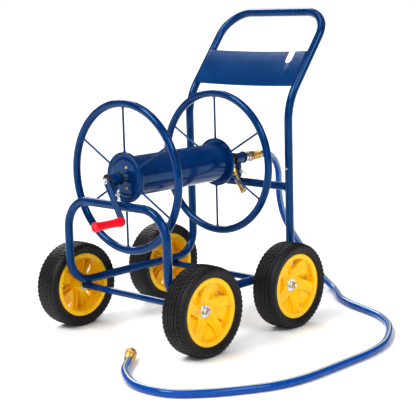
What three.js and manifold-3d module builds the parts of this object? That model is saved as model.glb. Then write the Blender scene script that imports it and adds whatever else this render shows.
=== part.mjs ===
// Four-wheel garden hose reel cart: a bent-tube frame on four wheels carries a hand-cranked hose reel.
// Millimetres. +X is the cart's right side, -Y is the crank end, +Y is the handle end, +Z is up.
// Places along Y are measured from half way between the axles until the last lines of this file,
// which move the whole cart so that the middle of its footprint is the origin.

import * as THREE from 'three';
import * as BufferGeometryUtils from 'three/addons/utils/BufferGeometryUtils.js';
import Module from 'manifold-3d';

const wasm = await Module();
wasm.setup();

// ---------------------------------------------------------------- driving dimensions

const GAP = 0.3; // clearance between pieces that touch

// frame and handle
const TUBE_RADIUS = 12.7;
const FRAME_HALF_WIDTH = 205; // tube centreline
const WHEELBASE = 374;
const LOOP_AHEAD_OF_AXLE = 71; // front loop, ahead of the front axle
const UPRIGHT_BEHIND_AXLE = 81; // uprights, behind the rear axle
const LOOP_HEIGHT = 406; // front loop's top bar and the cross tube behind
const LOWER_BEND = 76; // bend radii on the tube's centreline
const LOOP_BEND = 90;
const SEAM_HEIGHT = 493; // where the handle plugs into the uprights
const SOCKET_RADIUS = 11;
const SPIGOT_LENGTH = 60;
const HANDLE_BEND_HEIGHT = 659;
const HANDLE_BEND = 170;
const HANDLE_LEAN = THREE.MathUtils.degToRad(38.4);
const HANDLE_LENGTH = 337; // along the lean, from the bend's corner to the top bar
const HANDLE_CORNER = 90;
const SCREW_BELOW_SEAM = 31;
const SCREW_RADIUS = 2.2;
const SCREW_HEAD_RADIUS = 4.6;
const SCREW_LENGTH = 13;

// sheet panel across the handle
const PANEL_THICKNESS = 1.6;
const PANEL_HEIGHT = 128;
const PANEL_FROM_BEND = 52; // lower edge, along the lean from the bend's corner
const PANEL_END_INSET = 5; // end of the sheet, inside the tube's centreline
const PANEL_BOW = 7;
const SLOT_WIDTH = 24;
const SLOT_DEPTH = 43;
const SLOT_FROM_TUBE = 64; // slot's middle, inside the right tube's centreline

// reel bearings
const REEL_HEIGHT = 479;
const SHAFT_RADIUS = 10;
const SLEEVE_LENGTH = 40;
const SLEEVE_WALL = 2.8;
const BUSH_WALL = 2.8;
const BUSH_FLANGE_RADIUS = 19;
const BUSH_FLANGE_THICKNESS = 4;
const BUSH_DEPTH = 14; // how far a bush reaches into its sleeve
const RUNNING_CLEARANCE = 0.35;
const POST_RADIUS = 10.5;
const STUB_RADIUS = 8.2;
const STUB_TOP_BELOW_REEL = 24;
const CLAMP_BELOW_REEL = 41;
const CLAMP_RADIUS = 3;
const CLAMP_HEAD_RADIUS = 6;
const CLAMP_THREAD_SHOWN = 12;
const WING_SPAN = 32;

// reel
const DRUM_RADIUS = 57.5;
const DRUM_WALL = 1.5;
const FLANGE_SPACING = 378; // between the two ring planes
const REEL_SHIFT = -23; // middle of the reel, from half way between the axles
const PLATE_RADIUS = 73;
const PLATE_DEPTH = 9;
const PLATE_SHEET = 3;
const RING_RADIUS = 210.5; // ring tube's centreline
const RING_TUBE_RADIUS = 11.5;
const SPOKE_RADIUS = 3.2;
const SPOKE_COUNT = 6;
const RIVET_RADIUS = 4.2;
const RIVET_HEIGHT = 2.2;
const RIVET_ASIDE = 9; // rivets' place across the plate and above or below the axis
const RIVET_FROM_AXIS = 29;

// crank
const CRANK_LENGTH = 125;
const CRANK_WIDTH = 22;
const CRANK_THICKNESS = 5;
const CRANK_ANGLE = THREE.MathUtils.degToRad(29); // from straight down, towards +X
const CRANK_BOLT_RADIUS = 4;
const CRANK_HEX_RADIUS = 7.5;
const CRANK_HEX_HEIGHT = 6;
const CRANK_WASHER_RADIUS = 9.3;
const CRANK_WASHER_THICKNESS = 1.6;
const CRANK_BOLT_DEPTH = 20; // how far the bolt reaches into the shaft
const CRANK_PIN_RADIUS = 4.8;
const PIN_HEAD_RADIUS = 8;
const PIN_HEAD_THICKNESS = 3;
const GRIP_LENGTH = 101;
const GRIP_END_RADIUS = 14;
const GRIP_WAIST_RADIUS = 11.5;

// water way
const OUTLET_AHEAD_OF_UPRIGHT = 49;
const OUTLET_LENGTH = 115; // from the reel's axis to the tip
const OUTLET_ANGLE = THREE.MathUtils.degToRad(34); // from straight down, towards +X
const OUTLET_BARREL_RADIUS = 7.8;
const OUTLET_STEM_RADIUS = 8;
const OUTLET_HEX_RADIUS = 12.5;
const WATER_BORE_RADIUS = 5.5;
const COLLAR_LENGTH = 14;
const SWIVEL_LENGTH = 29;
const SWIVEL_RADIUS = 18;
const FERRULE_LENGTH = 34;
const FERRULE_RADIUS = 13.5;
const COUPLING_LENGTH = 30;
const COUPLING_RADIUS = 16.5;
const HOSE_RADIUS = 11;

// wheels
const TYRE_RADIUS = 127;
const TYRE_WIDTH = 80;
const TYRE_CLEARANCE = 7.8; // between a tyre's side and the frame's tube
const RIM_RADIUS = 96.5;
const RIM_WIDTH = 65;
const RIM_SEAT_RADIUS = 88;
const RIM_BORE_RADIUS = 82;
const HUB_RADIUS = 23;
const HUB_INNER = 35; // hub's inner and outer ends, from the wheel's middle
const HUB_OUTER = 6.5;
const AXLE_RADIUS = 6.3;
const AXLE_TUBE_RADIUS = 10;
const AXLE_WASHER_RADIUS = 18.5;
const SPACER_RADIUS = 14;
const WASHER_THICKNESS = 2;
const AXLE_NUT_RADIUS = 11;
const AXLE_NUT_LENGTH = 14;
const ARM_COUNT = 5;
const WHEEL_SIDES = 28; // tyre and rim share their facets, so that they nest

// ---------------------------------------------------------------- places worked out from the above

const track = 2 * (FRAME_HALF_WIDTH + TUBE_RADIUS + TYRE_CLEARANCE) + TYRE_WIDTH; // between wheel middles
const frontAxleY = -WHEELBASE / 2;
const rearAxleY = WHEELBASE / 2;
const loopY = frontAxleY - LOOP_AHEAD_OF_AXLE;
const uprightY = rearAxleY + UPRIGHT_BEHIND_AXLE;
const railHeight = TYRE_RADIUS + AXLE_TUBE_RADIUS + TUBE_RADIUS + GAP;
const bushRadius = SHAFT_RADIUS + RUNNING_CLEARANCE + BUSH_WALL;
const sleeveBoreRadius = bushRadius + GAP;
const sleeveRadius = sleeveBoreRadius + SLEEVE_WALL;
const bearingHalfLength = SLEEVE_LENGTH / 2 + GAP + BUSH_FLANGE_THICKNESS;
const shaftFront = loopY - bearingHalfLength - 1;
const collarStart = uprightY + bearingHalfLength + 1;
const swivelStart = collarStart + COLLAR_LENGTH + 2;
const shaftEnd = swivelStart + SWIVEL_LENGTH - 8;
const ferruleStart = swivelStart + SWIVEL_LENGTH + GAP;
const hoseStart = ferruleStart + FERRULE_LENGTH + GAP;
const armBack = shaftFront - GAP;
const armFront = armBack - CRANK_THICKNESS;
const outletY = uprightY - OUTLET_AHEAD_OF_UPRIGHT;
const hubInnerX = track / 2 - HUB_INNER;
const hubOuterX = track / 2 + HUB_OUTER;
const axleTubeEnd = hubInnerX - 2 * GAP - WASHER_THICKNESS;
const axleNutStart = hubOuterX + 2 * GAP + WASHER_THICKNESS;

// ---------------------------------------------------------------- finishes

const finishes = {
  bluePaint: { color: 0x0a3f7d, roughness: 0.35, metalness: 0.3 },
  blackPlastic: { color: 0x17181a, roughness: 0.5, metalness: 0 },
  yellowPlastic: { color: 0xf7b90c, roughness: 0.4, metalness: 0 },
  redPlastic: { color: 0xe8102f, roughness: 0.45, metalness: 0 },
  rubber: { color: 0x1c1c1f, roughness: 0.85, metalness: 0 },
  zinc: { color: 0xc9ccce, roughness: 0.3, metalness: 0.9 },
  brass: { color: 0xc39a45, roughness: 0.3, metalness: 0.9 },
  hose: { color: 0x0b419c, roughness: 0.45, metalness: 0 },
};

const cart = new THREE.Group();

// Adds one named solid to the cart.
function piece(name, geometry, finish) {
  const mesh = new THREE.Mesh(geometry, new THREE.MeshStandardMaterial(finishes[finish]));
  mesh.name = name;
  cart.add(mesh);
  return mesh;
}

// ---------------------------------------------------------------- shape helpers

// Turns a geometry made along +Y so that it lies along the named axis.
function along(axis, geometry) {
  if (axis === 'x') geometry.rotateZ(-Math.PI / 2);
  if (axis === 'z') geometry.rotateX(Math.PI / 2);
  return geometry;
}

// A solid or hollow turned piece from [radius, height] pairs, lying along the named axis.
function turned(axis, outline, sides) {
  const points = outline.map(([radius, height]) => new THREE.Vector2(radius, height));
  return along(axis, new THREE.LatheGeometry(points, sides));
}

function rod(axis, radius, from, to, sides = 16) {
  return turned(axis, [[0, from], [radius, from], [radius, to], [0, to]], sides);
}

function pipe(axis, bore, radius, from, to, sides = 16) {
  return turned(axis, [[bore, from], [radius, from], [radius, to], [bore, to], [bore, from]], sides);
}

function toSolid(geometry) {
  const bare = geometry.clone();
  bare.deleteAttribute('normal');
  bare.deleteAttribute('uv');
  const merged = BufferGeometryUtils.mergeVertices(bare, 1e-4);
  const vertProperties = new Float32Array(merged.attributes.position.array);
  const triVerts = new Uint32Array(merged.index.array);
  return new wasm.Manifold(new wasm.Mesh({ numProp: 3, vertProperties, triVerts }));
}

function toGeometry(solid) {
  const mesh = solid.getMesh();
  const geometry = new THREE.BufferGeometry();
  geometry.setAttribute('position', new THREE.BufferAttribute(new Float32Array(mesh.vertProperties), 3));
  geometry.setIndex(new THREE.BufferAttribute(new Uint32Array(mesh.triVerts), 1));
  return geometry;
}

function join(...geometries) {
  return toGeometry(geometries.map(toSolid).reduce((all, next) => all.add(next)));
}

function cut(geometry, ...tools) {
  return toGeometry(tools.map(toSolid).reduce((left, tool) => left.subtract(tool), toSolid(geometry)));
}

// A path of straight runs joined by arcs, with a station only where the direction changes.
class BentPath extends THREE.Curve {
  constructor(corners, radii, stepsPerRightAngle = 6) {
    super();
    this.stations = [corners[0]];
    this.tangents = [corners[1].clone().sub(corners[0]).normalize()];
    for (let i = 1; i < corners.length - 1; i += 1) {
      this.addBend(corners[i - 1], corners[i], corners[i + 1], radii[i - 1], stepsPerRightAngle);
    }
    this.stations.push(corners.at(-1));
    this.tangents.push(corners.at(-1).clone().sub(corners.at(-2)).normalize());
  }

  addBend(before, corner, after, radius, stepsPerRightAngle) {
    const arriving = corner.clone().sub(before).normalize();
    const leaving = after.clone().sub(corner).normalize();
    const angle = arriving.angleTo(leaving);
    const steps = Math.max(2, Math.round(stepsPerRightAngle * angle / (Math.PI / 2)));
    const start = corner.clone().addScaledVector(arriving, -radius * Math.tan(angle / 2));
    const inward = leaving.clone().addScaledVector(arriving, -arriving.dot(leaving)).normalize();
    const centre = start.clone().addScaledVector(inward, radius);
    for (let step = 0; step <= steps; step += 1) {
      const turn = angle * step / steps;
      const point = centre.clone().addScaledVector(inward, -radius * Math.cos(turn));
      point.addScaledVector(arriving, radius * Math.sin(turn));
      const tangent = arriving.clone().multiplyScalar(Math.cos(turn));
      tangent.addScaledVector(inward, Math.sin(turn));
      this.stations.push(point);
      this.tangents.push(tangent);
    }
  }

  get steps() {
    return this.stations.length - 1;
  }

  getPointAt(share) {
    return this.stations[Math.round(share * this.steps)].clone();
  }

  getTangentAt(share) {
    return this.tangents[Math.round(share * this.steps)].clone();
  }
}

function roundSection(radius, sides) {
  const points = [];
  for (let i = 0; i < sides; i += 1) {
    const angle = 2 * Math.PI * i / sides;
    points.push(new THREE.Vector2(radius * Math.cos(angle), radius * Math.sin(angle)));
  }
  return new THREE.Shape(points);
}

function bentTube(corners, radii, radius, sides = 12) {
  const path = new BentPath(corners, radii);
  return new THREE.ExtrudeGeometry(roundSection(radius, sides), { steps: path.steps, extrudePath: path });
}

// ---------------------------------------------------------------- frame

function lowerFrame() {
  const x = FRAME_HALF_WIDTH;
  const side = (sign) => [
    new THREE.Vector3(sign * x, uprightY, SEAM_HEIGHT),
    new THREE.Vector3(sign * x, uprightY, railHeight),
    new THREE.Vector3(sign * x, loopY, railHeight),
    new THREE.Vector3(sign * x, loopY, LOOP_HEIGHT),
  ];
  const corners = [...side(-1), ...side(1).reverse()];
  const radii = [LOWER_BEND, LOWER_BEND, LOOP_BEND, LOOP_BEND, LOWER_BEND, LOWER_BEND];
  const tube = bentTube(corners, radii, TUBE_RADIUS);
  const sockets = [-x, x].map((at) => (
    rod('z', SOCKET_RADIUS, SEAM_HEIGHT - SPIGOT_LENGTH - 2, SEAM_HEIGHT + 1).translate(at, uprightY, 0)
  ));
  return cut(tube, ...sockets, ...screwHoles());
}

function screwHoles() {
  const height = SEAM_HEIGHT - SCREW_BELOW_SEAM;
  return [-FRAME_HALF_WIDTH, FRAME_HALF_WIDTH].map((at) => (
    rod('y', SCREW_RADIUS + GAP, -TUBE_RADIUS - 1, 1, 12).translate(at, uprightY, height)
  ));
}

// A point on the leaning part of the handle: across, along the lean from the bend, and out to the front.
function onLean(across, up, out) {
  const y = uprightY + up * Math.sin(HANDLE_LEAN) - out * Math.cos(HANDLE_LEAN);
  const z = HANDLE_BEND_HEIGHT + up * Math.cos(HANDLE_LEAN) + out * Math.sin(HANDLE_LEAN);
  return new THREE.Vector3(across, y, z);
}

function upperHandle() {
  const x = FRAME_HALF_WIDTH;
  const side = (sign) => [
    new THREE.Vector3(sign * x, uprightY, SEAM_HEIGHT + GAP),
    onLean(sign * x, 0, 0),
    onLean(sign * x, HANDLE_LENGTH, 0),
  ];
  const corners = [...side(-1), ...side(1).reverse()];
  const tube = bentTube(corners, [HANDLE_BEND, HANDLE_CORNER, HANDLE_CORNER, HANDLE_BEND], TUBE_RADIUS);
  const spigots = [-x, x].map((at) => (
    rod('z', SOCKET_RADIUS - GAP, SEAM_HEIGHT - SPIGOT_LENGTH, SEAM_HEIGHT + 5).translate(at, uprightY, 0)
  ));
  return cut(join(tube, ...spigots), ...screwHoles());
}

// The sheet's section is an arc whose middle sits back from its ends.
function handlePanel() {
  const halfWidth = FRAME_HALF_WIDTH - PANEL_END_INSET;
  const steps = 13;
  const face = (out) => Array.from({ length: steps + 1 }, (_, i) => {
    const across = halfWidth * (2 * i / steps - 1);
    return new THREE.Vector2(across, PANEL_BOW * (1 - (across / halfWidth) ** 2) - out);
  });
  const backFace = face(TUBE_RADIUS + GAP);
  const frontFace = face(TUBE_RADIUS + GAP + PANEL_THICKNESS);
  const section = new THREE.Shape([...frontFace, ...backFace.reverse()]);
  const sheet = new THREE.ExtrudeGeometry(section, { depth: PANEL_HEIGHT, bevelEnabled: false });
  sheet.translate(0, 0, PANEL_FROM_BEND);

  const radius = SLOT_WIDTH / 2;
  const outline = new THREE.Shape();
  outline.moveTo(-radius, SLOT_DEPTH + 2);
  outline.lineTo(-radius, radius);
  outline.absarc(0, radius, radius, Math.PI, 2 * Math.PI, false);
  outline.lineTo(radius, SLOT_DEPTH + 2);
  const slot = new THREE.ExtrudeGeometry(outline, { depth: 40, bevelEnabled: false, curveSegments: 10 });
  slot.rotateX(Math.PI / 2);
  slot.translate(FRAME_HALF_WIDTH - SLOT_FROM_TUBE, 10, PANEL_FROM_BEND + PANEL_HEIGHT - SLOT_DEPTH);

  // from the sheet's own axes (across, back, up the lean) to the cart's
  const corner = onLean(0, 0, 0);
  const back = corner.clone().sub(onLean(0, 0, 1));
  const up = onLean(0, 1, 0).sub(corner);
  const axes = new THREE.Matrix4().makeBasis(new THREE.Vector3(1, 0, 0), back, up);
  return cut(sheet, slot).applyMatrix4(axes.setPosition(corner));
}

function crossTube() {
  const reach = FRAME_HALF_WIDTH;
  const tube = rod('x', TUBE_RADIUS, -reach, reach).translate(0, uprightY, LOOP_HEIGHT);
  const uprights = [-reach, reach].map((at) => (
    rod('z', TUBE_RADIUS + GAP, LOOP_HEIGHT - 40, LOOP_HEIGHT + 40, 20).translate(at, uprightY, 0)
  ));
  return cut(tube, ...uprights);
}

function handleScrew(x) {
  const rim = SCREW_HEAD_RADIUS;
  const outline = [
    [0, -3],
    [rim - 1.6, -3],
    [rim, -1],
    [rim, 0],
    [SCREW_RADIUS, 0],
    [SCREW_RADIUS, SCREW_LENGTH - 2],
    [0, SCREW_LENGTH],
  ];
  const screw = turned('y', outline, 12);
  return screw.translate(x, uprightY - TUBE_RADIUS - GAP, SEAM_HEIGHT - SCREW_BELOW_SEAM);
}

piece('lower_frame_tube', lowerFrame(), 'bluePaint');
piece('upper_handle_tube', upperHandle(), 'bluePaint');
piece('handle_panel', handlePanel(), 'bluePaint');
piece('rear_cross_tube', crossTube(), 'bluePaint');
piece('left_handle_screw', handleScrew(-FRAME_HALF_WIDTH), 'zinc');
piece('right_handle_screw', handleScrew(FRAME_HALF_WIDTH), 'zinc');

// ---------------------------------------------------------------- reel bearings

// Stub welded on a crosswise tube, which the bearing's post slides over.
function bearingStub(y) {
  const stub = rod('z', STUB_RADIUS, LOOP_HEIGHT, REEL_HEIGHT - STUB_TOP_BELOW_REEL).translate(0, y, 0);
  const tube = rod('x', TUBE_RADIUS + GAP, -20, 20, 20).translate(0, y, LOOP_HEIGHT);
  return cut(stub, tube, clampHole(y));
}

function clampHole(y) {
  return rod('x', CLAMP_RADIUS + GAP, -30, 30, 12).translate(0, y, REEL_HEIGHT - CLAMP_BELOW_REEL);
}

function bearingSleeve(y) {
  const postBottom = LOOP_HEIGHT + TUBE_RADIUS + 3;
  const sleeve = rod('y', sleeveRadius, -SLEEVE_LENGTH / 2, SLEEVE_LENGTH / 2, 18).translate(0, y, REEL_HEIGHT);
  const bore = rod('y', sleeveBoreRadius, -SLEEVE_LENGTH, SLEEVE_LENGTH, 18).translate(0, y, REEL_HEIGHT);
  const post = rod('z', POST_RADIUS, postBottom, REEL_HEIGHT - SLEEVE_WALL).translate(0, y, 0);
  const socketTop = REEL_HEIGHT - STUB_TOP_BELOW_REEL + 1;
  const socket = rod('z', STUB_RADIUS + GAP, postBottom - 1, socketTop).translate(0, y, 0);
  return cut(join(sleeve, post), bore, socket, clampHole(y));
}

// Flanged plastic bush at one end of a sleeve: end is -1 at the front and 1 at the rear.
function bush(y, end) {
  const bore = SHAFT_RADIUS + RUNNING_CLEARANCE;
  const face = SLEEVE_LENGTH / 2 + GAP;
  const outline = [
    [bore, face - BUSH_DEPTH],
    [bushRadius, face - BUSH_DEPTH],
    [bushRadius, face],
    [BUSH_FLANGE_RADIUS, face],
    [BUSH_FLANGE_RADIUS, face + BUSH_FLANGE_THICKNESS - 1],
    [BUSH_FLANGE_RADIUS - 1, face + BUSH_FLANGE_THICKNESS],
    [bore, face + BUSH_FLANGE_THICKNESS],
    [bore, face - BUSH_DEPTH],
  ];
  const geometry = turned('y', outline, 18);
  if (end < 0) geometry.rotateZ(Math.PI);
  return geometry.translate(0, y, REEL_HEIGHT);
}

function clampBolt(y) {
  const head = rod('x', CLAMP_HEAD_RADIUS, -POST_RADIUS - GAP - 4, -POST_RADIUS - GAP, 6);
  const shank = rod('x', CLAMP_RADIUS, -POST_RADIUS - 2, POST_RADIUS + CLAMP_THREAD_SHOWN, 12);
  return join(head, shank).translate(0, y, REEL_HEIGHT - CLAMP_BELOW_REEL);
}

function wingNut(y, turn) {
  const start = POST_RADIUS + GAP;
  const reach = WING_SPAN / 2;
  const hub = turned('x', [[0, start], [6.5, start], [5, start + 8], [0, start + 8]], 16);
  const wing = new THREE.Shape();
  wing.moveTo(start + 1, 2);
  wing.lineTo(start + 2, 8);
  wing.quadraticCurveTo(start + 7, reach, start + 11, reach);
  wing.quadraticCurveTo(start + 15, reach - 2, start + 13, reach - 5);
  wing.lineTo(start + 7, 2);
  const upper = new THREE.ExtrudeGeometry(wing, { depth: 2.6, bevelEnabled: false, curveSegments: 4 });
  upper.translate(0, 0, -1.3);
  upper.rotateX(Math.PI / 2);
  const lower = upper.clone().rotateX(Math.PI);
  const bore = rod('x', CLAMP_RADIUS + GAP, start - 1, start + 20, 12);
  const nut = cut(join(hub, upper, lower), bore);
  return nut.rotateX(turn).translate(0, y, REEL_HEIGHT - CLAMP_BELOW_REEL);
}

for (const [end, y, wingTurn] of [['front', loopY, 0], ['rear', uprightY, 1]]) {
  piece(`${end}_bearing_stub`, bearingStub(y), 'bluePaint');
  piece(`${end}_bearing_sleeve`, bearingSleeve(y), 'bluePaint');
  piece(`${end}_bearing_fore_bush`, bush(y, -1), 'blackPlastic');
  piece(`${end}_bearing_aft_bush`, bush(y, 1), 'blackPlastic');
  piece(`${end}_clamp_bolt`, clampBolt(y), 'zinc');
  piece(`${end}_wing_nut`, wingNut(y, wingTurn), 'zinc');
}

// ---------------------------------------------------------------- axles and wheels

for (const [end, y] of [['front', frontAxleY], ['rear', rearAxleY]]) {
  const bore = AXLE_RADIUS + GAP;
  const tube = pipe('x', bore, AXLE_TUBE_RADIUS, -axleTubeEnd, axleTubeEnd);
  piece(`${end}_axle_tube`, tube.translate(0, y, TYRE_RADIUS), 'bluePaint');
  const rodEnd = axleNutStart + AXLE_NUT_LENGTH + 2;
  piece(`${end}_axle_rod`, rod('x', AXLE_RADIUS, -rodEnd, rodEnd, 16).translate(0, y, TYRE_RADIUS), 'zinc');
}

function tyre() {
  const half = TYRE_WIDTH / 2;
  const bead = RIM_WIDTH / 2 - 3 - GAP;
  const seat = RIM_SEAT_RADIUS + GAP;
  const quarter = [
    [seat, bead],
    [RIM_RADIUS + GAP, bead],
    [RIM_RADIUS + GAP, RIM_WIDTH / 2 - 1],
    [RIM_RADIUS + 13, half],
    [TYRE_RADIUS - 8, half - 2.5],
    [TYRE_RADIUS, half - 16],
  ];
  const mirrored = quarter.map(([radius, height]) => [radius, -height]);
  return turned('x', [...mirrored, ...quarter.reverse(), mirrored[0]], WHEEL_SIDES);
}

// Cast-look rim: barrel, dished web and hub in one turned body, then pockets and slots cut between arms.
function rim() {
  const half = RIM_WIDTH / 2;
  const lip = half - 3;
  const bore = AXLE_RADIUS + 2 * GAP;
  const outline = [
    [bore, -HUB_INNER],
    [HUB_RADIUS, -HUB_INNER],
    [HUB_RADIUS, -4],
    [RIM_BORE_RADIUS, -2],
    [RIM_BORE_RADIUS, -half],
    [RIM_RADIUS, -half],
    [RIM_RADIUS, -lip],
    [RIM_SEAT_RADIUS, -lip],
    [RIM_SEAT_RADIUS, lip],
    [RIM_RADIUS, lip],
    [RIM_RADIUS, half],
    [RIM_BORE_RADIUS, half],
    [RIM_BORE_RADIUS, half - 7],
    [HUB_RADIUS, HUB_OUTER],
    [bore, HUB_OUTER],
    [bore, -HUB_INNER],
  ];
  const body = turned('x', outline, WHEEL_SIDES);
  const pitch = 2 * Math.PI / ARM_COUNT;
  const tools = [];
  for (let i = 0; i < ARM_COUNT; i += 1) {
    tools.push(spokePocket(0.31 * pitch, 33, 5, 40).rotateX(i * pitch));
    tools.push(spokePocket(0.17 * pitch, 44, -20, 40).rotateX(i * pitch + 0.1 * pitch));
  }
  return cut(body, ...tools);
}

// Prism along X with a narrow rounded end near the hub and an arc near the barrel.
function spokePocket(halfAngle, innerRadius, from, to) {
  const outer = RIM_BORE_RADIUS - 4;
  const outline = new THREE.Shape();
  outline.moveTo(innerRadius, -3);
  outline.lineTo(outer * Math.cos(halfAngle), -outer * Math.sin(halfAngle));
  outline.absarc(0, 0, outer, -halfAngle, halfAngle, false);
  outline.lineTo(innerRadius, 3);
  const prism = new THREE.ExtrudeGeometry(outline, {
    depth: to - from,
    bevelEnabled: false,
    curveSegments: 3,
  });
  prism.translate(0, 0, from);
  return prism.rotateY(Math.PI / 2);
}

function axleNut() {
  const end = axleNutStart + AXLE_NUT_LENGTH;
  const thread = rod('x', AXLE_RADIUS + GAP, axleNutStart - 1, end + 1, 16);
  return cut(rod('x', AXLE_NUT_RADIUS, axleNutStart, end, 6), thread);
}

// One wheel with what holds it on its axle; the left ones are the right ones turned about.
// It stands turned by a whole number of facets, so a tyre's corner meets the ground.
function wheel(place, facets) {
  const turn = 2 * Math.PI * facets / WHEEL_SIDES;
  const side = place.endsWith('right') ? 1 : -1;
  const y = place.startsWith('front') ? frontAxleY : rearAxleY;
  const onAxle = (geometry, x) => {
    geometry.translate(x, 0, 0);
    if (side < 0) geometry.rotateZ(Math.PI);
    return geometry.translate(0, y, TYRE_RADIUS);
  };
  const bore = AXLE_RADIUS + GAP;
  const spacerFrom = hubInnerX - GAP - WASHER_THICKNESS;
  const washerFrom = hubOuterX + GAP;
  const spacer = pipe('x', bore, SPACER_RADIUS, spacerFrom, spacerFrom + WASHER_THICKNESS, 16);
  const washer = pipe('x', bore, AXLE_WASHER_RADIUS, washerFrom, washerFrom + WASHER_THICKNESS, 20);
  piece(`${place}_tyre`, onAxle(tyre(), track / 2), 'rubber');
  piece(`${place}_rim`, onAxle(rim().rotateX(turn), track / 2), 'yellowPlastic');
  piece(`${place}_spacer`, onAxle(spacer, 0), 'zinc');
  piece(`${place}_washer`, onAxle(washer, 0), 'zinc');
  piece(`${place}_nut`, onAxle(axleNut(), 0), 'zinc');
}

wheel('front_right', 0);
wheel('rear_right', 4);
wheel('front_left', 2);
wheel('rear_left', 2);

// ---------------------------------------------------------------- reel

function reelShaft() {
  const boltBore = CRANK_BOLT_RADIUS + GAP;
  const boltBottom = shaftFront + CRANK_BOLT_DEPTH + 2;
  const outline = [
    [0, boltBottom],
    [boltBore, boltBottom],
    [boltBore, shaftFront],
    [SHAFT_RADIUS, shaftFront],
    [SHAFT_RADIUS, shaftEnd],
    [WATER_BORE_RADIUS, shaftEnd],
    [WATER_BORE_RADIUS, outletY - WATER_BORE_RADIUS],
    [0, outletY - WATER_BORE_RADIUS],
  ];
  const port = towardsOutlet(rod('y', WATER_BORE_RADIUS, 0, SHAFT_RADIUS + 2, 12));
  return cut(turned('y', outline, 18).translate(0, 0, REEL_HEIGHT), port);
}

// Pressed end plate with its welded spokes, dished outward in the middle and beaded round its edge.
function flangePlate(end) {
  const bore = SHAFT_RADIUS + GAP;
  const half = PLATE_DEPTH / 2;
  const sheet = PLATE_SHEET;
  const outline = [
    [bore, half - sheet],
    [DRUM_RADIUS - 4, half - sheet],
    [DRUM_RADIUS, -sheet / 2],
    [PLATE_RADIUS - 8, -sheet / 2],
    [PLATE_RADIUS - 5, -half],
    [PLATE_RADIUS, -half + 3],
    [PLATE_RADIUS, half - 3],
    [PLATE_RADIUS - 5, half],
    [PLATE_RADIUS - 8, sheet / 2],
    [DRUM_RADIUS + 2, sheet / 2],
    [DRUM_RADIUS - 2, half],
    [bore, half],
    [bore, half - sheet],
  ];
  const plate = turned('y', outline, 28);
  const spokeEnd = RING_RADIUS - RING_TUBE_RADIUS - 2 * GAP;
  const spokes = [];
  for (let i = 0; i < SPOKE_COUNT; i += 1) {
    const spoke = rod('z', SPOKE_RADIUS, PLATE_RADIUS - 3, spokeEnd, 6);
    spokes.push(spoke.rotateY(2 * Math.PI * i / SPOKE_COUNT));
  }
  const wheelCentre = join(plate, ...spokes);
  if (end < 0) wheelCentre.rotateZ(Math.PI);
  return wheelCentre.translate(0, REEL_SHIFT + end * FLANGE_SPACING / 2, REEL_HEIGHT);
}

function flangeRing(end) {
  const ring = new THREE.TorusGeometry(RING_RADIUS, RING_TUBE_RADIUS, 8, 52);
  ring.rotateX(Math.PI / 2);
  return ring.translate(0, REEL_SHIFT + end * FLANGE_SPACING / 2, REEL_HEIGHT);
}

// Brass rivet head on the front plate, up is 1 above the shaft and -1 below it.
function plateRivet(up) {
  const face = REEL_SHIFT - FLANGE_SPACING / 2 - PLATE_DEPTH / 2 - GAP;
  const head = turned('y', [
    [0, -RIVET_HEIGHT],
    [RIVET_RADIUS - 1.8, 0.3 - RIVET_HEIGHT],
    [RIVET_RADIUS, -0.4],
    [RIVET_RADIUS, 0],
    [0, 0],
  ], 12);
  return head.translate(RIVET_ASIDE, face, REEL_HEIGHT + up * RIVET_FROM_AXIS);
}

const drumReach = (FLANGE_SPACING - PLATE_SHEET) / 2 - GAP;
const drum = pipe('y', DRUM_RADIUS - DRUM_WALL, DRUM_RADIUS, -drumReach, drumReach, 36);
piece('reel_shaft', reelShaft(), 'zinc');
piece('reel_drum', drum.translate(0, REEL_SHIFT, REEL_HEIGHT), 'bluePaint');
piece('front_flange_plate', flangePlate(-1), 'bluePaint');
piece('rear_flange_plate', flangePlate(1), 'bluePaint');
piece('front_flange_ring', flangeRing(-1), 'bluePaint');
piece('rear_flange_ring', flangeRing(1), 'bluePaint');
piece('upper_plate_rivet', plateRivet(1), 'brass');
piece('lower_plate_rivet', plateRivet(-1), 'brass');

// ---------------------------------------------------------------- crank

const pinX = CRANK_LENGTH * Math.sin(CRANK_ANGLE);
const pinZ = REEL_HEIGHT - CRANK_LENGTH * Math.cos(CRANK_ANGLE);

// Flat bar with round ends and the grip's pin riveted in; the pin's headed end sits inside the grip.
function crankArm() {
  const half = CRANK_WIDTH / 2;
  const outline = new THREE.Shape();
  outline.absarc(0, 0, half, 0, Math.PI, false);
  outline.absarc(0, -CRANK_LENGTH, half, Math.PI, 2 * Math.PI, false);
  const hole = new THREE.Path();
  hole.absarc(0, 0, CRANK_BOLT_RADIUS + GAP, 0, 2 * Math.PI, true);
  outline.holes.push(hole);
  const bar = new THREE.ExtrudeGeometry(outline, {
    depth: CRANK_THICKNESS,
    bevelEnabled: false,
    curveSegments: 10,
  });
  bar.rotateX(Math.PI / 2);
  bar.rotateY(-CRANK_ANGLE);
  bar.translate(0, armBack, REEL_HEIGHT);
  const pinEnd = armFront - GRIP_LENGTH + PIN_HEAD_THICKNESS;
  const pin = turned('y', [
    [0, pinEnd],
    [PIN_HEAD_RADIUS, pinEnd],
    [PIN_HEAD_RADIUS, pinEnd + PIN_HEAD_THICKNESS],
    [CRANK_PIN_RADIUS, pinEnd + PIN_HEAD_THICKNESS],
    [CRANK_PIN_RADIUS, armBack],
    [PIN_HEAD_RADIUS, armBack],
    [PIN_HEAD_RADIUS - 2, armBack + PIN_HEAD_THICKNESS],
    [0, armBack + PIN_HEAD_THICKNESS],
  ], 16);
  return join(bar, pin.translate(pinX, 0, pinZ));
}

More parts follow.
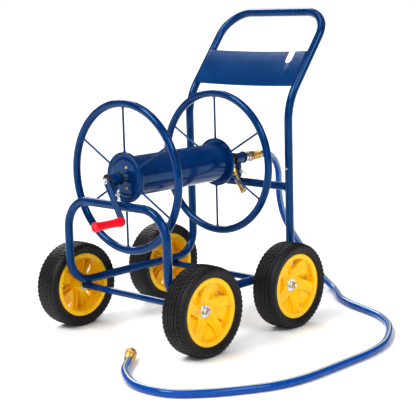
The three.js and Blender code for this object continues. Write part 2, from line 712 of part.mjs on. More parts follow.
function crankBolt() {
  const head = armFront - GAP;
  const washerFront = head - CRANK_WASHER_THICKNESS;
  const hex = rod('y', CRANK_HEX_RADIUS, washerFront - CRANK_HEX_HEIGHT, washerFront, 6);
  const washer = rod('y', CRANK_WASHER_RADIUS, washerFront, head, 20);
  const shank = rod('y', CRANK_BOLT_RADIUS, head - 1, shaftFront + CRANK_BOLT_DEPTH, 12);
  return join(hex, washer, shank).translate(0, 0, REEL_HEIGHT);
}

function crankGrip() {
  const bore = CRANK_PIN_RADIUS + RUNNING_CLEARANCE;
  const length = GRIP_LENGTH;
  const outline = [
    [bore, 0],
    [GRIP_END_RADIUS - 2, 0],
    [GRIP_END_RADIUS, 3],
    [GRIP_END_RADIUS - 0.6, 10],
    [GRIP_WAIST_RADIUS, 28],
    [GRIP_WAIST_RADIUS, length - 28],
    [GRIP_END_RADIUS - 0.6, length - 10],
    [GRIP_END_RADIUS, length - 3],
    [GRIP_END_RADIUS - 2, length],
    [PIN_HEAD_RADIUS + 1, length],
    [PIN_HEAD_RADIUS + 1, length - 10],
    [bore, length - 10],
    [bore, 0],
  ];
  return turned('y', outline, 16).rotateZ(Math.PI).translate(pinX, armFront - 2 * GAP, pinZ);
}

piece('crank_arm', crankArm(), 'bluePaint');
piece('crank_bolt', crankBolt(), 'zinc');
piece('crank_grip', crankGrip(), 'redPlastic');

// ---------------------------------------------------------------- water way

// Lays a geometry made along +Y on the outlet's axis, which leaves the shaft at its side.
function towardsOutlet(geometry) {
  along('z', geometry);
  return geometry.rotateY(Math.PI - OUTLET_ANGLE).translate(0, outletY, REEL_HEIGHT);
}

function outletSpout() {
  const tip = OUTLET_LENGTH;
  const barrel = OUTLET_BARREL_RADIUS;
  const stem = turned('y', [
    [0, SHAFT_RADIUS - 2],
    [OUTLET_STEM_RADIUS, SHAFT_RADIUS - 2],
    [OUTLET_STEM_RADIUS, 30],
    [barrel - 1, 46],
    [barrel - 1, 57],
    [barrel, 58],
    [barrel, tip - 6],
    [barrel + 1.2, tip - 5],
    [barrel + 1.2, tip],
    [0, tip],
  ], 16);
  const hex = rod('y', OUTLET_HEX_RADIUS, 26, 48, 6);
  const bore = rod('y', WATER_BORE_RADIUS, 0, tip + 1, 12);
  const shaft = rod('y', SHAFT_RADIUS + GAP, -30, 30, 20).translate(0, outletY, REEL_HEIGHT);
  return cut(towardsOutlet(join(stem, hex)), towardsOutlet(bore), shaft);
}

function swivelNut() {
  const shaftSeat = rod('y', SHAFT_RADIUS + RUNNING_CLEARANCE, -1, shaftEnd - swivelStart + 1, 18);
  const bore = rod('y', WATER_BORE_RADIUS, 0, SWIVEL_LENGTH + 1, 16);
  const skirt = rod('y', SWIVEL_RADIUS - 3, 0, SWIVEL_LENGTH, 18);
  const hex = rod('y', SWIVEL_RADIUS, 4, SWIVEL_LENGTH - 9, 6);
  return cut(join(skirt, hex), shaftSeat, bore).translate(0, swivelStart, REEL_HEIGHT);
}

// Crimped sleeve that holds the hose on its tail, made along +Y from its fitting's side.
function ferrule() {
  const bore = WATER_BORE_RADIUS;
  return turned('y', [
    [bore, 0],
    [FERRULE_RADIUS - 1.5, 0],
    [FERRULE_RADIUS - 1.5, 3],
    [FERRULE_RADIUS, 4.5],
    [FERRULE_RADIUS, FERRULE_LENGTH - 2],
    [FERRULE_RADIUS - 1, FERRULE_LENGTH],
    [bore, FERRULE_LENGTH],
    [bore, 0],
  ], 16);
}

const collar = pipe('y', SHAFT_RADIUS + GAP, SHAFT_RADIUS + 3, 0, COLLAR_LENGTH, 24);
piece('shaft_collar', collar.translate(0, collarStart, REEL_HEIGHT), 'zinc');
piece('outlet_spout', outletSpout(), 'brass');
piece('inlet_swivel_nut', swivelNut(), 'brass');
piece('inlet_ferrule', ferrule().translate(0, ferruleStart, REEL_HEIGHT), 'brass');

// ---------------------------------------------------------------- lead-in hose

// The hose leaves the inlet straight back, hangs to the ground, and lies round the cart's right side.
const FLOOR = HOSE_RADIUS + GAP;
const END_HEIGHT = COUPLING_RADIUS + GAP; // the coupling is fatter than the hose, and lies on the ground
const hoseRoute = [
  [0, hoseStart, REEL_HEIGHT],
  [0, 384, REEL_HEIGHT],
  [-0.3, 406.8, 476],
  [-1, 428, 467.2],
  [-2.1, 446.2, 453.2],
  [-3.5, 460.2, 435],
  [-4.9, 469, 413.8],
  [-6.1, 472.2, 391],
  [-6.7, 472.9, 362],
  [-5.9, 477, 316],
  [-2.4, 492, 261],
  [4.3, 520, 209],
  [11.8, 547, 167],
  [18.5, 583, 113],
  [23.5, 596, 92.6],
  [33, 606.5, 72],
  [47.5, 612.8, 53],
  [66, 614.5, 36.5],
  [87, 611, 24],
  [109, 602.8, 15.8],
  [134, 586.7, FLOOR + 0.7],
  [166, 556, FLOOR + 0.3],
  [210, 514.6, FLOOR],
  [278, 473, FLOOR],
  [353, 443.6, FLOOR],
  [435, 408.6, FLOOR],
  [512, 344.7, FLOOR],
  [569, 263, FLOOR],
  [612.5, 173, FLOOR],
  [630, 75, FLOOR],
  [631, -15, FLOOR],
  [630.4, -105, FLOOR],
  [626.5, -195, FLOOR],
  [606, -282, FLOOR],
  [563, -361, FLOOR],
  [510, -433.6, FLOOR],
  [436, -496, FLOOR],
  [329, -506, FLOOR + 0.3],
  [232, -455, END_HEIGHT - 1.6],
  [174, -388, END_HEIGHT],
].map(([x, y, z]) => new THREE.Vector3(x, y, z));

const hoseCurve = new THREE.CatmullRomCurve3(hoseRoute);
const hose = new THREE.ExtrudeGeometry(roundSection(HOSE_RADIUS, 8), {
  steps: 76,
  extrudePath: hoseCurve,
});
const hoseEnd = hoseCurve.getPointAt(1);
const hoseEndWay = hoseCurve.getTangentAt(1);

// Places a geometry made along +Y a distance beyond the hose's far end, in line with it.
function beyondHose(geometry, distance) {
  const turn = new THREE.Quaternion().setFromUnitVectors(new THREE.Vector3(0, 1, 0), hoseEndWay);
  geometry.applyQuaternion(turn);
  return geometry.translate(...hoseEnd.clone().addScaledVector(hoseEndWay, distance));
}

function hoseCoupling() {
  const body = turned('y', [
    [0, 0],
    [COUPLING_RADIUS - 4, 0],
    [COUPLING_RADIUS - 4, 5],
    [COUPLING_RADIUS, 7],
    [COUPLING_RADIUS, COUPLING_LENGTH - 2],
    [COUPLING_RADIUS - 1.5, COUPLING_LENGTH],
    [0, COUPLING_LENGTH],
  ], 12);
  const mouth = rod('y', COUPLING_RADIUS - 3.5, COUPLING_LENGTH - 14, COUPLING_LENGTH + 1, 12);
  return cut(body, mouth, rod('y', WATER_BORE_RADIUS, -1, COUPLING_LENGTH + 1, 16));
}

const farFerrule = ferrule().rotateX(Math.PI).translate(0, FERRULE_LENGTH, 0);
const cord = [
  piece('lead_hose', hose, 'hose'),
  piece('hose_end_ferrule', beyondHose(farFerrule, 2 * GAP), 'brass'),
  piece('hose_end_coupling', beyondHose(hoseCoupling(), FERRULE_LENGTH + 3 * GAP), 'brass'),
];

// ---------------------------------------------------------------- origin

// The origin is on the ground, under the middle of the box round the cart without its hose.
const footprint = new THREE.Box3();
for (const mesh of cart.children) {
  if (!cord.includes(mesh)) footprint.expandByObject(mesh);
}
const middle = footprint.getCenter(new THREE.Vector3());
cart.position.set(-middle.x, -middle.y, -footprint.min.z);

export default cart;
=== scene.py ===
"""Looks for the four-wheel garden hose reel cart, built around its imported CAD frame.

Metres. +X is the cart's right side, -Y the crank end, +Y the handle end, +Z up.
Sizes in the classes are millimetres, as on a maker's drawing, and MM turns them to metres.
"""

import logging  # noqa: E402
import math  # noqa: E402
from dataclasses import dataclass, field  # noqa: E402
from enum import Enum  # noqa: E402
from typing import Callable, Iterable, Mapping, Sequence  # noqa: E402

import bmesh  # noqa: E402
import bpy  # noqa: E402
from mathutils import Matrix, Vector  # noqa: E402


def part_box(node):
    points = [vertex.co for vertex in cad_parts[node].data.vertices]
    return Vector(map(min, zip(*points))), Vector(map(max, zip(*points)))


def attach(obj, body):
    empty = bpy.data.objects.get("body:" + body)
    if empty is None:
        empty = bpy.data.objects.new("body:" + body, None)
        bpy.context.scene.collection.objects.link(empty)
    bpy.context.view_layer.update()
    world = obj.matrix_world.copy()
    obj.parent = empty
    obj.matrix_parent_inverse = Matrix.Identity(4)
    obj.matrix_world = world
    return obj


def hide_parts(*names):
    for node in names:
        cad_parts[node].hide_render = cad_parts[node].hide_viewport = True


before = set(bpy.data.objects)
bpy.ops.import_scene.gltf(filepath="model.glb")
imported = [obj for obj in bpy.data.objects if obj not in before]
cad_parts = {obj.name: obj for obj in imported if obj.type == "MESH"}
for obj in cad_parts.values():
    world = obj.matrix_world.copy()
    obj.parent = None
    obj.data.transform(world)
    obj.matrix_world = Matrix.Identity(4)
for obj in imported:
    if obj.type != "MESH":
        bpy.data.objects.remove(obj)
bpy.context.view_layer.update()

MM = 0.001
CAD_GAP = 0.3  # millimetres between CAD solids that touch
MERGE_WITHIN = 1e-6  # metres
FULL_TURN = 2 * math.pi
QUARTER_TURN = math.pi / 2
Pair = tuple[float, float]
log = logging.getLogger("hose_reel_cart")


# ---------------------------------------------------------------- where the CAD put things


@dataclass(frozen=True)
class Place:
    """Where one CAD node lies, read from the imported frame."""

    low: Vector
    high: Vector

    @classmethod
    def of(cls, node: str) -> "Place":
        """The box of one CAD node, in metres."""
        low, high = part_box(node)
        return cls(low, high)

    @property
    def middle(self) -> Vector:
        """The middle of the box."""
        return (self.low + self.high) / 2

    @property
    def size(self) -> Vector:
        """The box's width, depth and height."""
        return self.high - self.low


class Axis(Enum):
    """The way a turned or extruded piece points."""

    RIGHT = (1, 0, 0)
    LEFT = (-1, 0, 0)
    BACK = (0, 1, 0)
    FRONT = (0, -1, 0)
    UP = (0, 0, 1)

    @property
    def vector(self) -> Vector:
        """The axis as a unit vector."""
        return Vector(self.value)


# ---------------------------------------------------------------- studio


@dataclass(frozen=True)
class SoftBox:
    """One soft lamp, so far off that its light is even all over the floor."""

    name: str
    heading: float  # degrees, left of +Y
    height: float  # degrees above the floor
    width: float  # degrees
    strength: float


@dataclass
class Studio:
    """Camera, pale floor and soft lamps."""

    camera_place: tuple[float, float, float] = (2.4197, -2.4859, 0.9681)
    heading: float = 43.374  # degrees, left of +Y
    pitch: float = 10.091  # degrees down
    roll: float = -1.569  # degrees
    lens: float = 101.1  # millimetres
    sensor: float = 36.0  # millimetres
    sight: float = 100.0  # how far the camera sees
    floor_size: float = 60.0
    sky: float = 0.26  # on dull surfaces
    sky_in_gloss: float = 0.16  # as glossy surfaces mirror it, dimmer as if dark cards stood round the stage
    sky_seen: float = 1.0  # straight through the camera
    lamps: tuple[SoftBox, ...] = (
        SoftBox("key_lamp", 165.0, 50.0, 26.0, 2.2),
        SoftBox("side_lamp", -100.0, 44.0, 22.0, 1.1),
        SoftBox("top_lamp", 100.0, 74.0, 30.0, 0.5),
        SoftBox("front_lamp", -140.0, 30.0, 50.0, 0.7),
        SoftBox("back_lamp", 62.0, 38.0, 26.0, 1.5),
    )

    def build(self) -> None:
        """Sets the whole studio up."""
        self.add_camera()
        self.add_floor()
        self.add_light()

    def add_camera(self) -> None:
        """Adds the camera, looking from the front right of the cart."""
        heading, pitch, roll = (math.radians(a) for a in (self.heading, self.pitch, self.roll))
        forward = Vector((
            -math.sin(heading) * math.cos(pitch),
            math.cos(heading) * math.cos(pitch),
            -math.sin(pitch),
        ))
        level = Vector((math.cos(heading), math.sin(heading), 0))
        above = level.cross(forward)
        right = level * math.cos(roll) + above * math.sin(roll)
        up = above * math.cos(roll) - level * math.sin(roll)
        turn = Matrix((right, up, -forward)).transposed().to_4x4()
        camera = bpy.data.objects.new("camera", bpy.data.cameras.new("camera"))
        camera.data.lens = self.lens
        camera.data.sensor_width = self.sensor
        camera.data.clip_end = self.sight
        camera.matrix_world = Matrix.Translation(self.camera_place) @ turn
        bpy.context.scene.collection.objects.link(camera)
        bpy.context.scene.camera = camera

    def add_floor(self) -> None:
        """Adds the seamless pale floor."""
        Bench.clear()
        bpy.ops.mesh.primitive_plane_add(size=self.floor_size)
        floor = bpy.context.object
        floor.name = "studio_floor"
        Dresser.dress(floor, STUDIO_PAPER)

    def add_light(self) -> None:
        """Adds the even sky and the soft lamps."""
        world = bpy.data.worlds.new("studio")
        world.use_nodes = True
        sky = world.node_tree.nodes["Background"]
        sky.inputs["Color"].default_value = (1, 1, 1, 1)
        tree = world.node_tree
        ray = add_node(tree, "ShaderNodeLightPath")
        mirrored = add_node(
            tree,
            "ShaderNodeMath",
            {"operation": "MULTIPLY_ADD", 1: self.sky_in_gloss - self.sky, 2: self.sky},
            {0: ray.outputs["Is Glossy Ray"]},
        )
        strength = add_node(
            tree,
            "ShaderNodeMath",
            {"operation": "MULTIPLY_ADD", 1: self.sky_seen - self.sky},
            {0: ray.outputs["Is Camera Ray"], 2: mirrored.outputs[0]},
        )
        tree.links.new(strength.outputs[0], sky.inputs["Strength"])
        bpy.context.scene.world = world
        bpy.context.scene.view_settings.view_transform = "Standard"
        for box in self.lamps:
            lamp = bpy.data.objects.new(box.name, bpy.data.lights.new(box.name, "SUN"))
            lamp.data.energy = box.strength
            lamp.data.angle = math.radians(box.width)
            turn = Matrix.Rotation(math.radians(box.heading), 4, "Z")
            tilt = Matrix.Rotation(math.radians(box.height - 90), 4, "X")
            lamp.matrix_world = turn @ tilt
            bpy.context.scene.collection.objects.link(lamp)


# ---------------------------------------------------------------- finishes


def linear(code: str) -> tuple[float, float, float, float]:
    """Turns an sRGB hex colour to linear light.

    Args:
        code: The colour, such as "#0a3f7d".

    Returns:
        Red, green, blue and a full alpha.
    """
    parts = [int(code[i:i + 2], 16) / 255 for i in (1, 3, 5)]
    light = [c / 12.92 if c <= 0.04045 else ((c + 0.055) / 1.055) ** 2.4 for c in parts]
    return (light[0], light[1], light[2], 1.0)


def add_node(
    tree: bpy.types.NodeTree,
    kind: str,
    settings: Mapping[str | int, object] | None = None,
    links: Mapping[str | int, bpy.types.NodeSocket] | None = None,
) -> bpy.types.Node:
    """Adds one node with its settings and links.

    Args:
        tree: The material's node tree.
        kind: The node's type.
        settings: Values of its sockets or its own properties, by name or socket number.
        links: What feeds its sockets, by name or socket number.

    Returns:
        The new node.
    """
    node = tree.nodes.new(kind)
    for key, value in (settings or {}).items():
        if isinstance(key, int) or key in node.inputs:
            node.inputs[key].default_value = value
        else:
            setattr(node, key, value)
    for key, source in (links or {}).items():
        tree.links.new(source, node.inputs[key])
    return node


def per_metre(size_mm: float) -> float:
    """The texture scale whose features are about this many millimetres across."""
    return 1 / (size_mm * MM)


@dataclass(frozen=True)
class Finish:
    """What all finishes share: a name, a colour, and how the material is started and ended."""

    name: str
    colour: str

    def start(self) -> tuple[bpy.types.Material, bpy.types.NodeTree, bpy.types.Node]:
        """Makes the material with its shader and returns both with the tree.

        Returns:
            The material, its node tree and its shader.
        """
        made = bpy.data.materials.new(self.name)
        made.use_nodes = True
        made.diffuse_color = linear(self.colour)
        return made, made.node_tree, made.node_tree.nodes["Principled BSDF"]

    @staticmethod
    def wire(
        tree: bpy.types.NodeTree,
        shader: bpy.types.Node,
        colour: bpy.types.NodeSocket,
        bump: bpy.types.Node,
        rough: bpy.types.Node | None = None,
    ) -> None:
        """Feeds the shader its colour, its bump and, where it varies, its roughness.

        Args:
            tree: The material's node tree.
            shader: The shader.
            colour: What gives the colour.
            bump: The bump node.
            rough: What gives the roughness, if it varies.
        """
        tree.links.new(colour, shader.inputs["Base Color"])
        tree.links.new(bump.outputs["Normal"], shader.inputs["Normal"])
        if rough:
            tree.links.new(rough.outputs["Result"], shader.inputs["Roughness"])

    def material(self) -> bpy.types.Material:
        """The finished material, made once."""
        return bpy.data.materials.get(self.name) or self.make()

    def make(self) -> bpy.types.Material:
        """Makes the material; each finish has its own way."""
        raise NotImplementedError


def speckle(tree: bpy.types.NodeTree, size_mm: float, detail: float = 2.0) -> bpy.types.Node:
    """Adds a noise pattern with features of a real size, fixed to the piece.

    Args:
        tree: The material's node tree.
        size_mm: How big its features are.
        detail: How many finer layers it has.

    Returns:
        The noise node.
    """
    place = add_node(tree, "ShaderNodeTexCoord")
    settings = {"Scale": per_metre(size_mm), "Detail": detail, "Roughness": 0.55}
    return add_node(tree, "ShaderNodeTexNoise", settings, {"Vector": place.outputs["Object"]})


def two_tone(
    tree: bpy.types.NodeTree, pattern: bpy.types.Node, dark: str, light: str, low: float, high: float
) -> bpy.types.Node:
    """Adds a ramp that turns a pattern to a colour between two tones.

    Args:
        tree: The material's node tree.
        pattern: What it follows.
        dark: Colour where the pattern is low.
        light: Colour where it is high.
        low: Pattern value where the change starts.
        high: Where it ends.

    Returns:
        The ramp node.
    """
    ramp = add_node(tree, "ShaderNodeValToRGB", {}, {"Fac": pattern.outputs[0]})
    ramp.color_ramp.elements[0].position, ramp.color_ramp.elements[1].position = low, high
    ramp.color_ramp.elements[0].color, ramp.color_ramp.elements[1].color = linear(dark), linear(light)
    return ramp


def relief(
    tree: bpy.types.NodeTree, pattern: bpy.types.Node, depth_mm: float, strength: float
) -> bpy.types.Node:
    """Adds a bump of a real depth from a pattern."""
    settings = {"Distance": depth_mm * MM, "Strength": strength}
    return add_node(tree, "ShaderNodeBump", settings, {"Height": pattern.outputs[0]})


def spread(
    tree: bpy.types.NodeTree, pattern: bpy.types.Node, low: float, high: float
) -> bpy.types.Node:
    """Adds a map from a pattern to a range of values, such as a roughness."""
    settings = {"From Min": 0.3, "From Max": 0.7, "To Min": low, "To Max": high}
    return add_node(tree, "ShaderNodeMapRange", settings, {"Value": pattern.outputs[0]})


@dataclass(frozen=True)
class PowderCoat(Finish):
    """Polyester powder coat baked on steel: glossy, with a faint orange peel and a slow change of tone.

    Its shine is tinted by the blue under the clear skin, so highlights are light blue rather than white.
    """

    deep: str
    gloss: float = 0.11  # roughness
    sheen: float = 0.46  # specular level
    shine_tint: tuple[float, float, float, float] = (0.2, 0.52, 1.0, 1.0)

    def make(self) -> bpy.types.Material:
        """Makes the coat: a 45 mm drift of tone and a 2.2 mm orange peel."""
        made, tree, shader = self.start()
        drift = speckle(tree, 45, 1.0)
        tone = two_tone(tree, drift, self.deep, self.colour, 0.3, 0.6)
        peel = speckle(tree, 2.2)
        bump = relief(tree, peel, 0.05, 0.35)
        rough = spread(tree, drift, self.gloss - 0.02, self.gloss + 0.06)
        self.wire(tree, shader, tone.outputs["Color"], bump, rough)
        shader.inputs["Specular IOR Level"].default_value = self.sheen
        shader.inputs["Specular Tint"].default_value = self.shine_tint
        return made


@dataclass(frozen=True)
class MouldedPlastic(Finish):
    """Injection-moulded plastic: even colour with flow marks, a soft shine and a fine tool texture."""

    flow: str
    shine: float = 0.3  # roughness
    depth: float = 0.06  # how far light sinks in
    scatter: tuple[float, float, float] = (0.002, 0.0012, 0.0004)

    def make(self) -> bpy.types.Material:
        """Makes the plastic: 30 mm flow marks and a 0.9 mm texture, drawn coarse enough to show."""
        made, tree, shader = self.start()
        marks = speckle(tree, 30, 1.5)
        tone = two_tone(tree, marks, self.flow, self.colour, 0.25, 0.55)
        grain = speckle(tree, 0.9)
        bump = relief(tree, grain, 0.03, 0.3)
        rough = spread(tree, marks, self.shine - 0.04, self.shine + 0.06)
        self.wire(tree, shader, tone.outputs["Color"], bump, rough)
        shader.inputs["Specular IOR Level"].default_value = 0.32
        shader.inputs["Subsurface Weight"].default_value = self.depth
        shader.inputs["Subsurface Radius"].default_value = self.scatter
        return made


@dataclass(frozen=True)
class TyreRubber(Finish):
    """Carbon-black rubber, moulded: nearly black, dull, with greyer bloom in patches."""

    bloom: str

    def make(self) -> bpy.types.Material:
        """Makes the rubber: 18 mm bloom patches and a 1.4 mm skin texture."""
        made, tree, shader = self.start()
        patches = speckle(tree, 18, 3.0)
        tone = two_tone(tree, patches, self.colour, self.bloom, 0.45, 0.8)
        skin = speckle(tree, 1.4, 3.0)
        bump = relief(tree, skin, 0.12, 0.5)
        rough = spread(tree, patches, 0.46, 0.62)
        self.wire(tree, shader, tone.outputs["Color"], bump, rough)
        shader.inputs["Specular IOR Level"].default_value = 0.26
        return made


@dataclass(frozen=True)
class PlatedMetal(Finish):
    """Metal with fine turning or plating marks: bright zinc plate, or bare turned brass."""

    worn: str
    shine: float = 0.24  # roughness
    lines_mm: float = 0.8

    def make(self) -> bpy.types.Material:
        """Makes the metal: cloudy 9 mm tone and fine marks, drawn coarser than the real ones to show."""
        made, tree, shader = self.start()
        cloud = speckle(tree, 9, 2.0)
        tone = two_tone(tree, cloud, self.worn, self.colour, 0.3, 0.6)
        marks = speckle(tree, self.lines_mm)
        bump = relief(tree, marks, 0.03, 0.35)
        rough = spread(tree, cloud, self.shine - 0.05, self.shine + 0.1)
        self.wire(tree, shader, tone.outputs["Color"], bump, rough)
        shader.inputs["Metallic"].default_value = 1.0
        return made


@dataclass(frozen=True)
class HosePvc(Finish):
    """Extruded soft PVC hose: glossy blue with a yellow line, a dark line and two pale bands along it."""

    shade: str
    stripes: tuple[tuple[str, float, float], ...] = (
        ("#c9c77e", 0.2, 0.222),  # yellow line, from and to these parts of the way round
        ("#94a9c2", 0.222, 0.272),  # pale band
        ("#141a4e", 0.272, 0.292),  # dark line
        ("#5a78a6", 0.292, 0.37),  # blue-grey band
    )
    shine_tint: tuple[float, float, float, float] = (0.5, 0.8, 1.0, 1.0)

    def make(self) -> bpy.types.Material:
        """Makes the hose skin; U runs round the hose and V along it in metres."""
        made, tree, shader = self.start()
        skin = speckle(tree, 14, 2.0)
        tone = two_tone(tree, skin, self.shade, self.colour, 0.3, 0.65)
        around = add_node(tree, "ShaderNodeUVMap", {"uv_map": "hose_skin"})
        parts = add_node(tree, "ShaderNodeSeparateXYZ", {}, {"Vector": around.outputs["UV"]})
        coat = tone.outputs["Color"]
        for stripe, start, end in self.stripes:
            coat = self.add_stripe(tree, coat, parts.outputs["X"], stripe, (start + end) / 2, (end - start) / 2)
        bump = relief(tree, speckle(tree, 3.0), 0.06, 0.3)
        self.wire(tree, shader, coat, bump)
        shader.inputs["Roughness"].default_value = 0.16
        shader.inputs["Specular IOR Level"].default_value = 0.36
        shader.inputs["Specular Tint"].default_value = self.shine_tint
        return made

    def add_stripe(
        self,
        tree: bpy.types.NodeTree,
        under: bpy.types.NodeSocket,
        around: bpy.types.NodeSocket,
        code: str,
        middle: float,
        half: float,
    ) -> bpy.types.NodeSocket:
        """Lays one stripe over the colour below it.

        Args:
            tree: The material's nodes.
            under: The colour so far.
            around: The place round the hose, from 0 to 1.
            code: The stripe's colour, in sRGB hex.
            middle: The stripe's middle round the hose.
            half: Half its width.

        Returns:
            The striped colour.
        """
        on = add_node(tree, "ShaderNodeMath", {"operation": "COMPARE", 1: middle, 2: half}, {0: around})
        mixed = add_node(
            tree, "ShaderNodeMix", {"data_type": "RGBA", 7: linear(code)}, {0: on.outputs[0], 6: under}
        )
        return mixed.outputs[2]


@dataclass(frozen=True)
class StudioPaper(Finish):
    """White background paper, matt, with a hardly visible tooth."""

    tooth: str

    def make(self) -> bpy.types.Material:
        """Makes the paper with a 6 mm tooth."""
        made, tree, shader = self.start()
        tone = two_tone(tree, speckle(tree, 6), self.tooth, self.colour, 0.3, 0.7)
        tree.links.new(tone.outputs["Color"], shader.inputs["Base Color"])
        shader.inputs["Roughness"].default_value = 0.6
        shader.inputs["Specular IOR Level"].default_value = 0.1
        return made


STUDIO_PAPER = StudioPaper("studio_paper", "#fdfdfd", "#fafafa")
FRAME_PAINT = PowderCoat("navy_powder_coat", "#002a5f", "#002250")
PANEL_PAINT = PowderCoat("panel_powder_coat", "#002f62", "#002b5b", 0.3, 0.2)
REEL_PAINT = PowderCoat("reel_powder_coat", "#002a5e", "#002251")
RIM_PLASTIC = MouldedPlastic("yellow_polypropylene", "#ffc800", "#fdbc00")
GRIP_PLASTIC = MouldedPlastic("red_polypropylene", "#f0001c", "#e40018", 0.34)
BUSH_NYLON = MouldedPlastic("black_nylon", "#0b0b0c", "#070708", 0.42, 0.0)
TYRE_RUBBER = TyreRubber("black_tyre_rubber", "#0b0a0d", "#151318")
ZINC_PLATE = PlatedMetal("bright_zinc_plate", "#dfe2e4", "#a4a8ab")
TURNED_BRASS = PlatedMetal("turned_brass", "#e2b865", "#b98f3c", 0.34, 0.9)
RIVET_BRASS = PlatedMetal("tumbled_brass", "#f0dcb4", "#d0b47c", 0.42, 0.9)
CAST_BRASS = PlatedMetal("rolled_brass", "#c8a070", "#8a6640", 0.34, 1.2)
HOSE_PVC = HosePvc("blue_hose_pvc", "#00429b", "#003a8c")


class Dresser:
    """Gives pieces their finish and their CAD body."""

    @staticmethod
    def dress(piece: bpy.types.Object, finish: Finish) -> None:
        """Gives a piece one finish all over."""
        piece.data.materials.clear()
        piece.data.materials.append(finish.material())

    @staticmethod
    def seat(
        piece: bpy.types.Object,
        name: str,
        finish: Finish,
        slot: str,
        body: str,
        stands_for: Iterable[str] = (),
    ) -> bpy.types.Object:
        """slot: The record's material slot; not used.
            body: The CAD body it moves with.
            stands_for: The CAD nodes that it replaces.

        Returns:
            The piece.
        """
        piece.name = name
        Dresser.dress(piece, finish)
        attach(piece, body)
        nodes = list(stands_for)
        if nodes:
            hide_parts(*nodes)
        log.info("%s: %d faces, on %s", name, len(piece.data.polygons), body)
        return piece


# ---------------------------------------------------------------- modelling bench


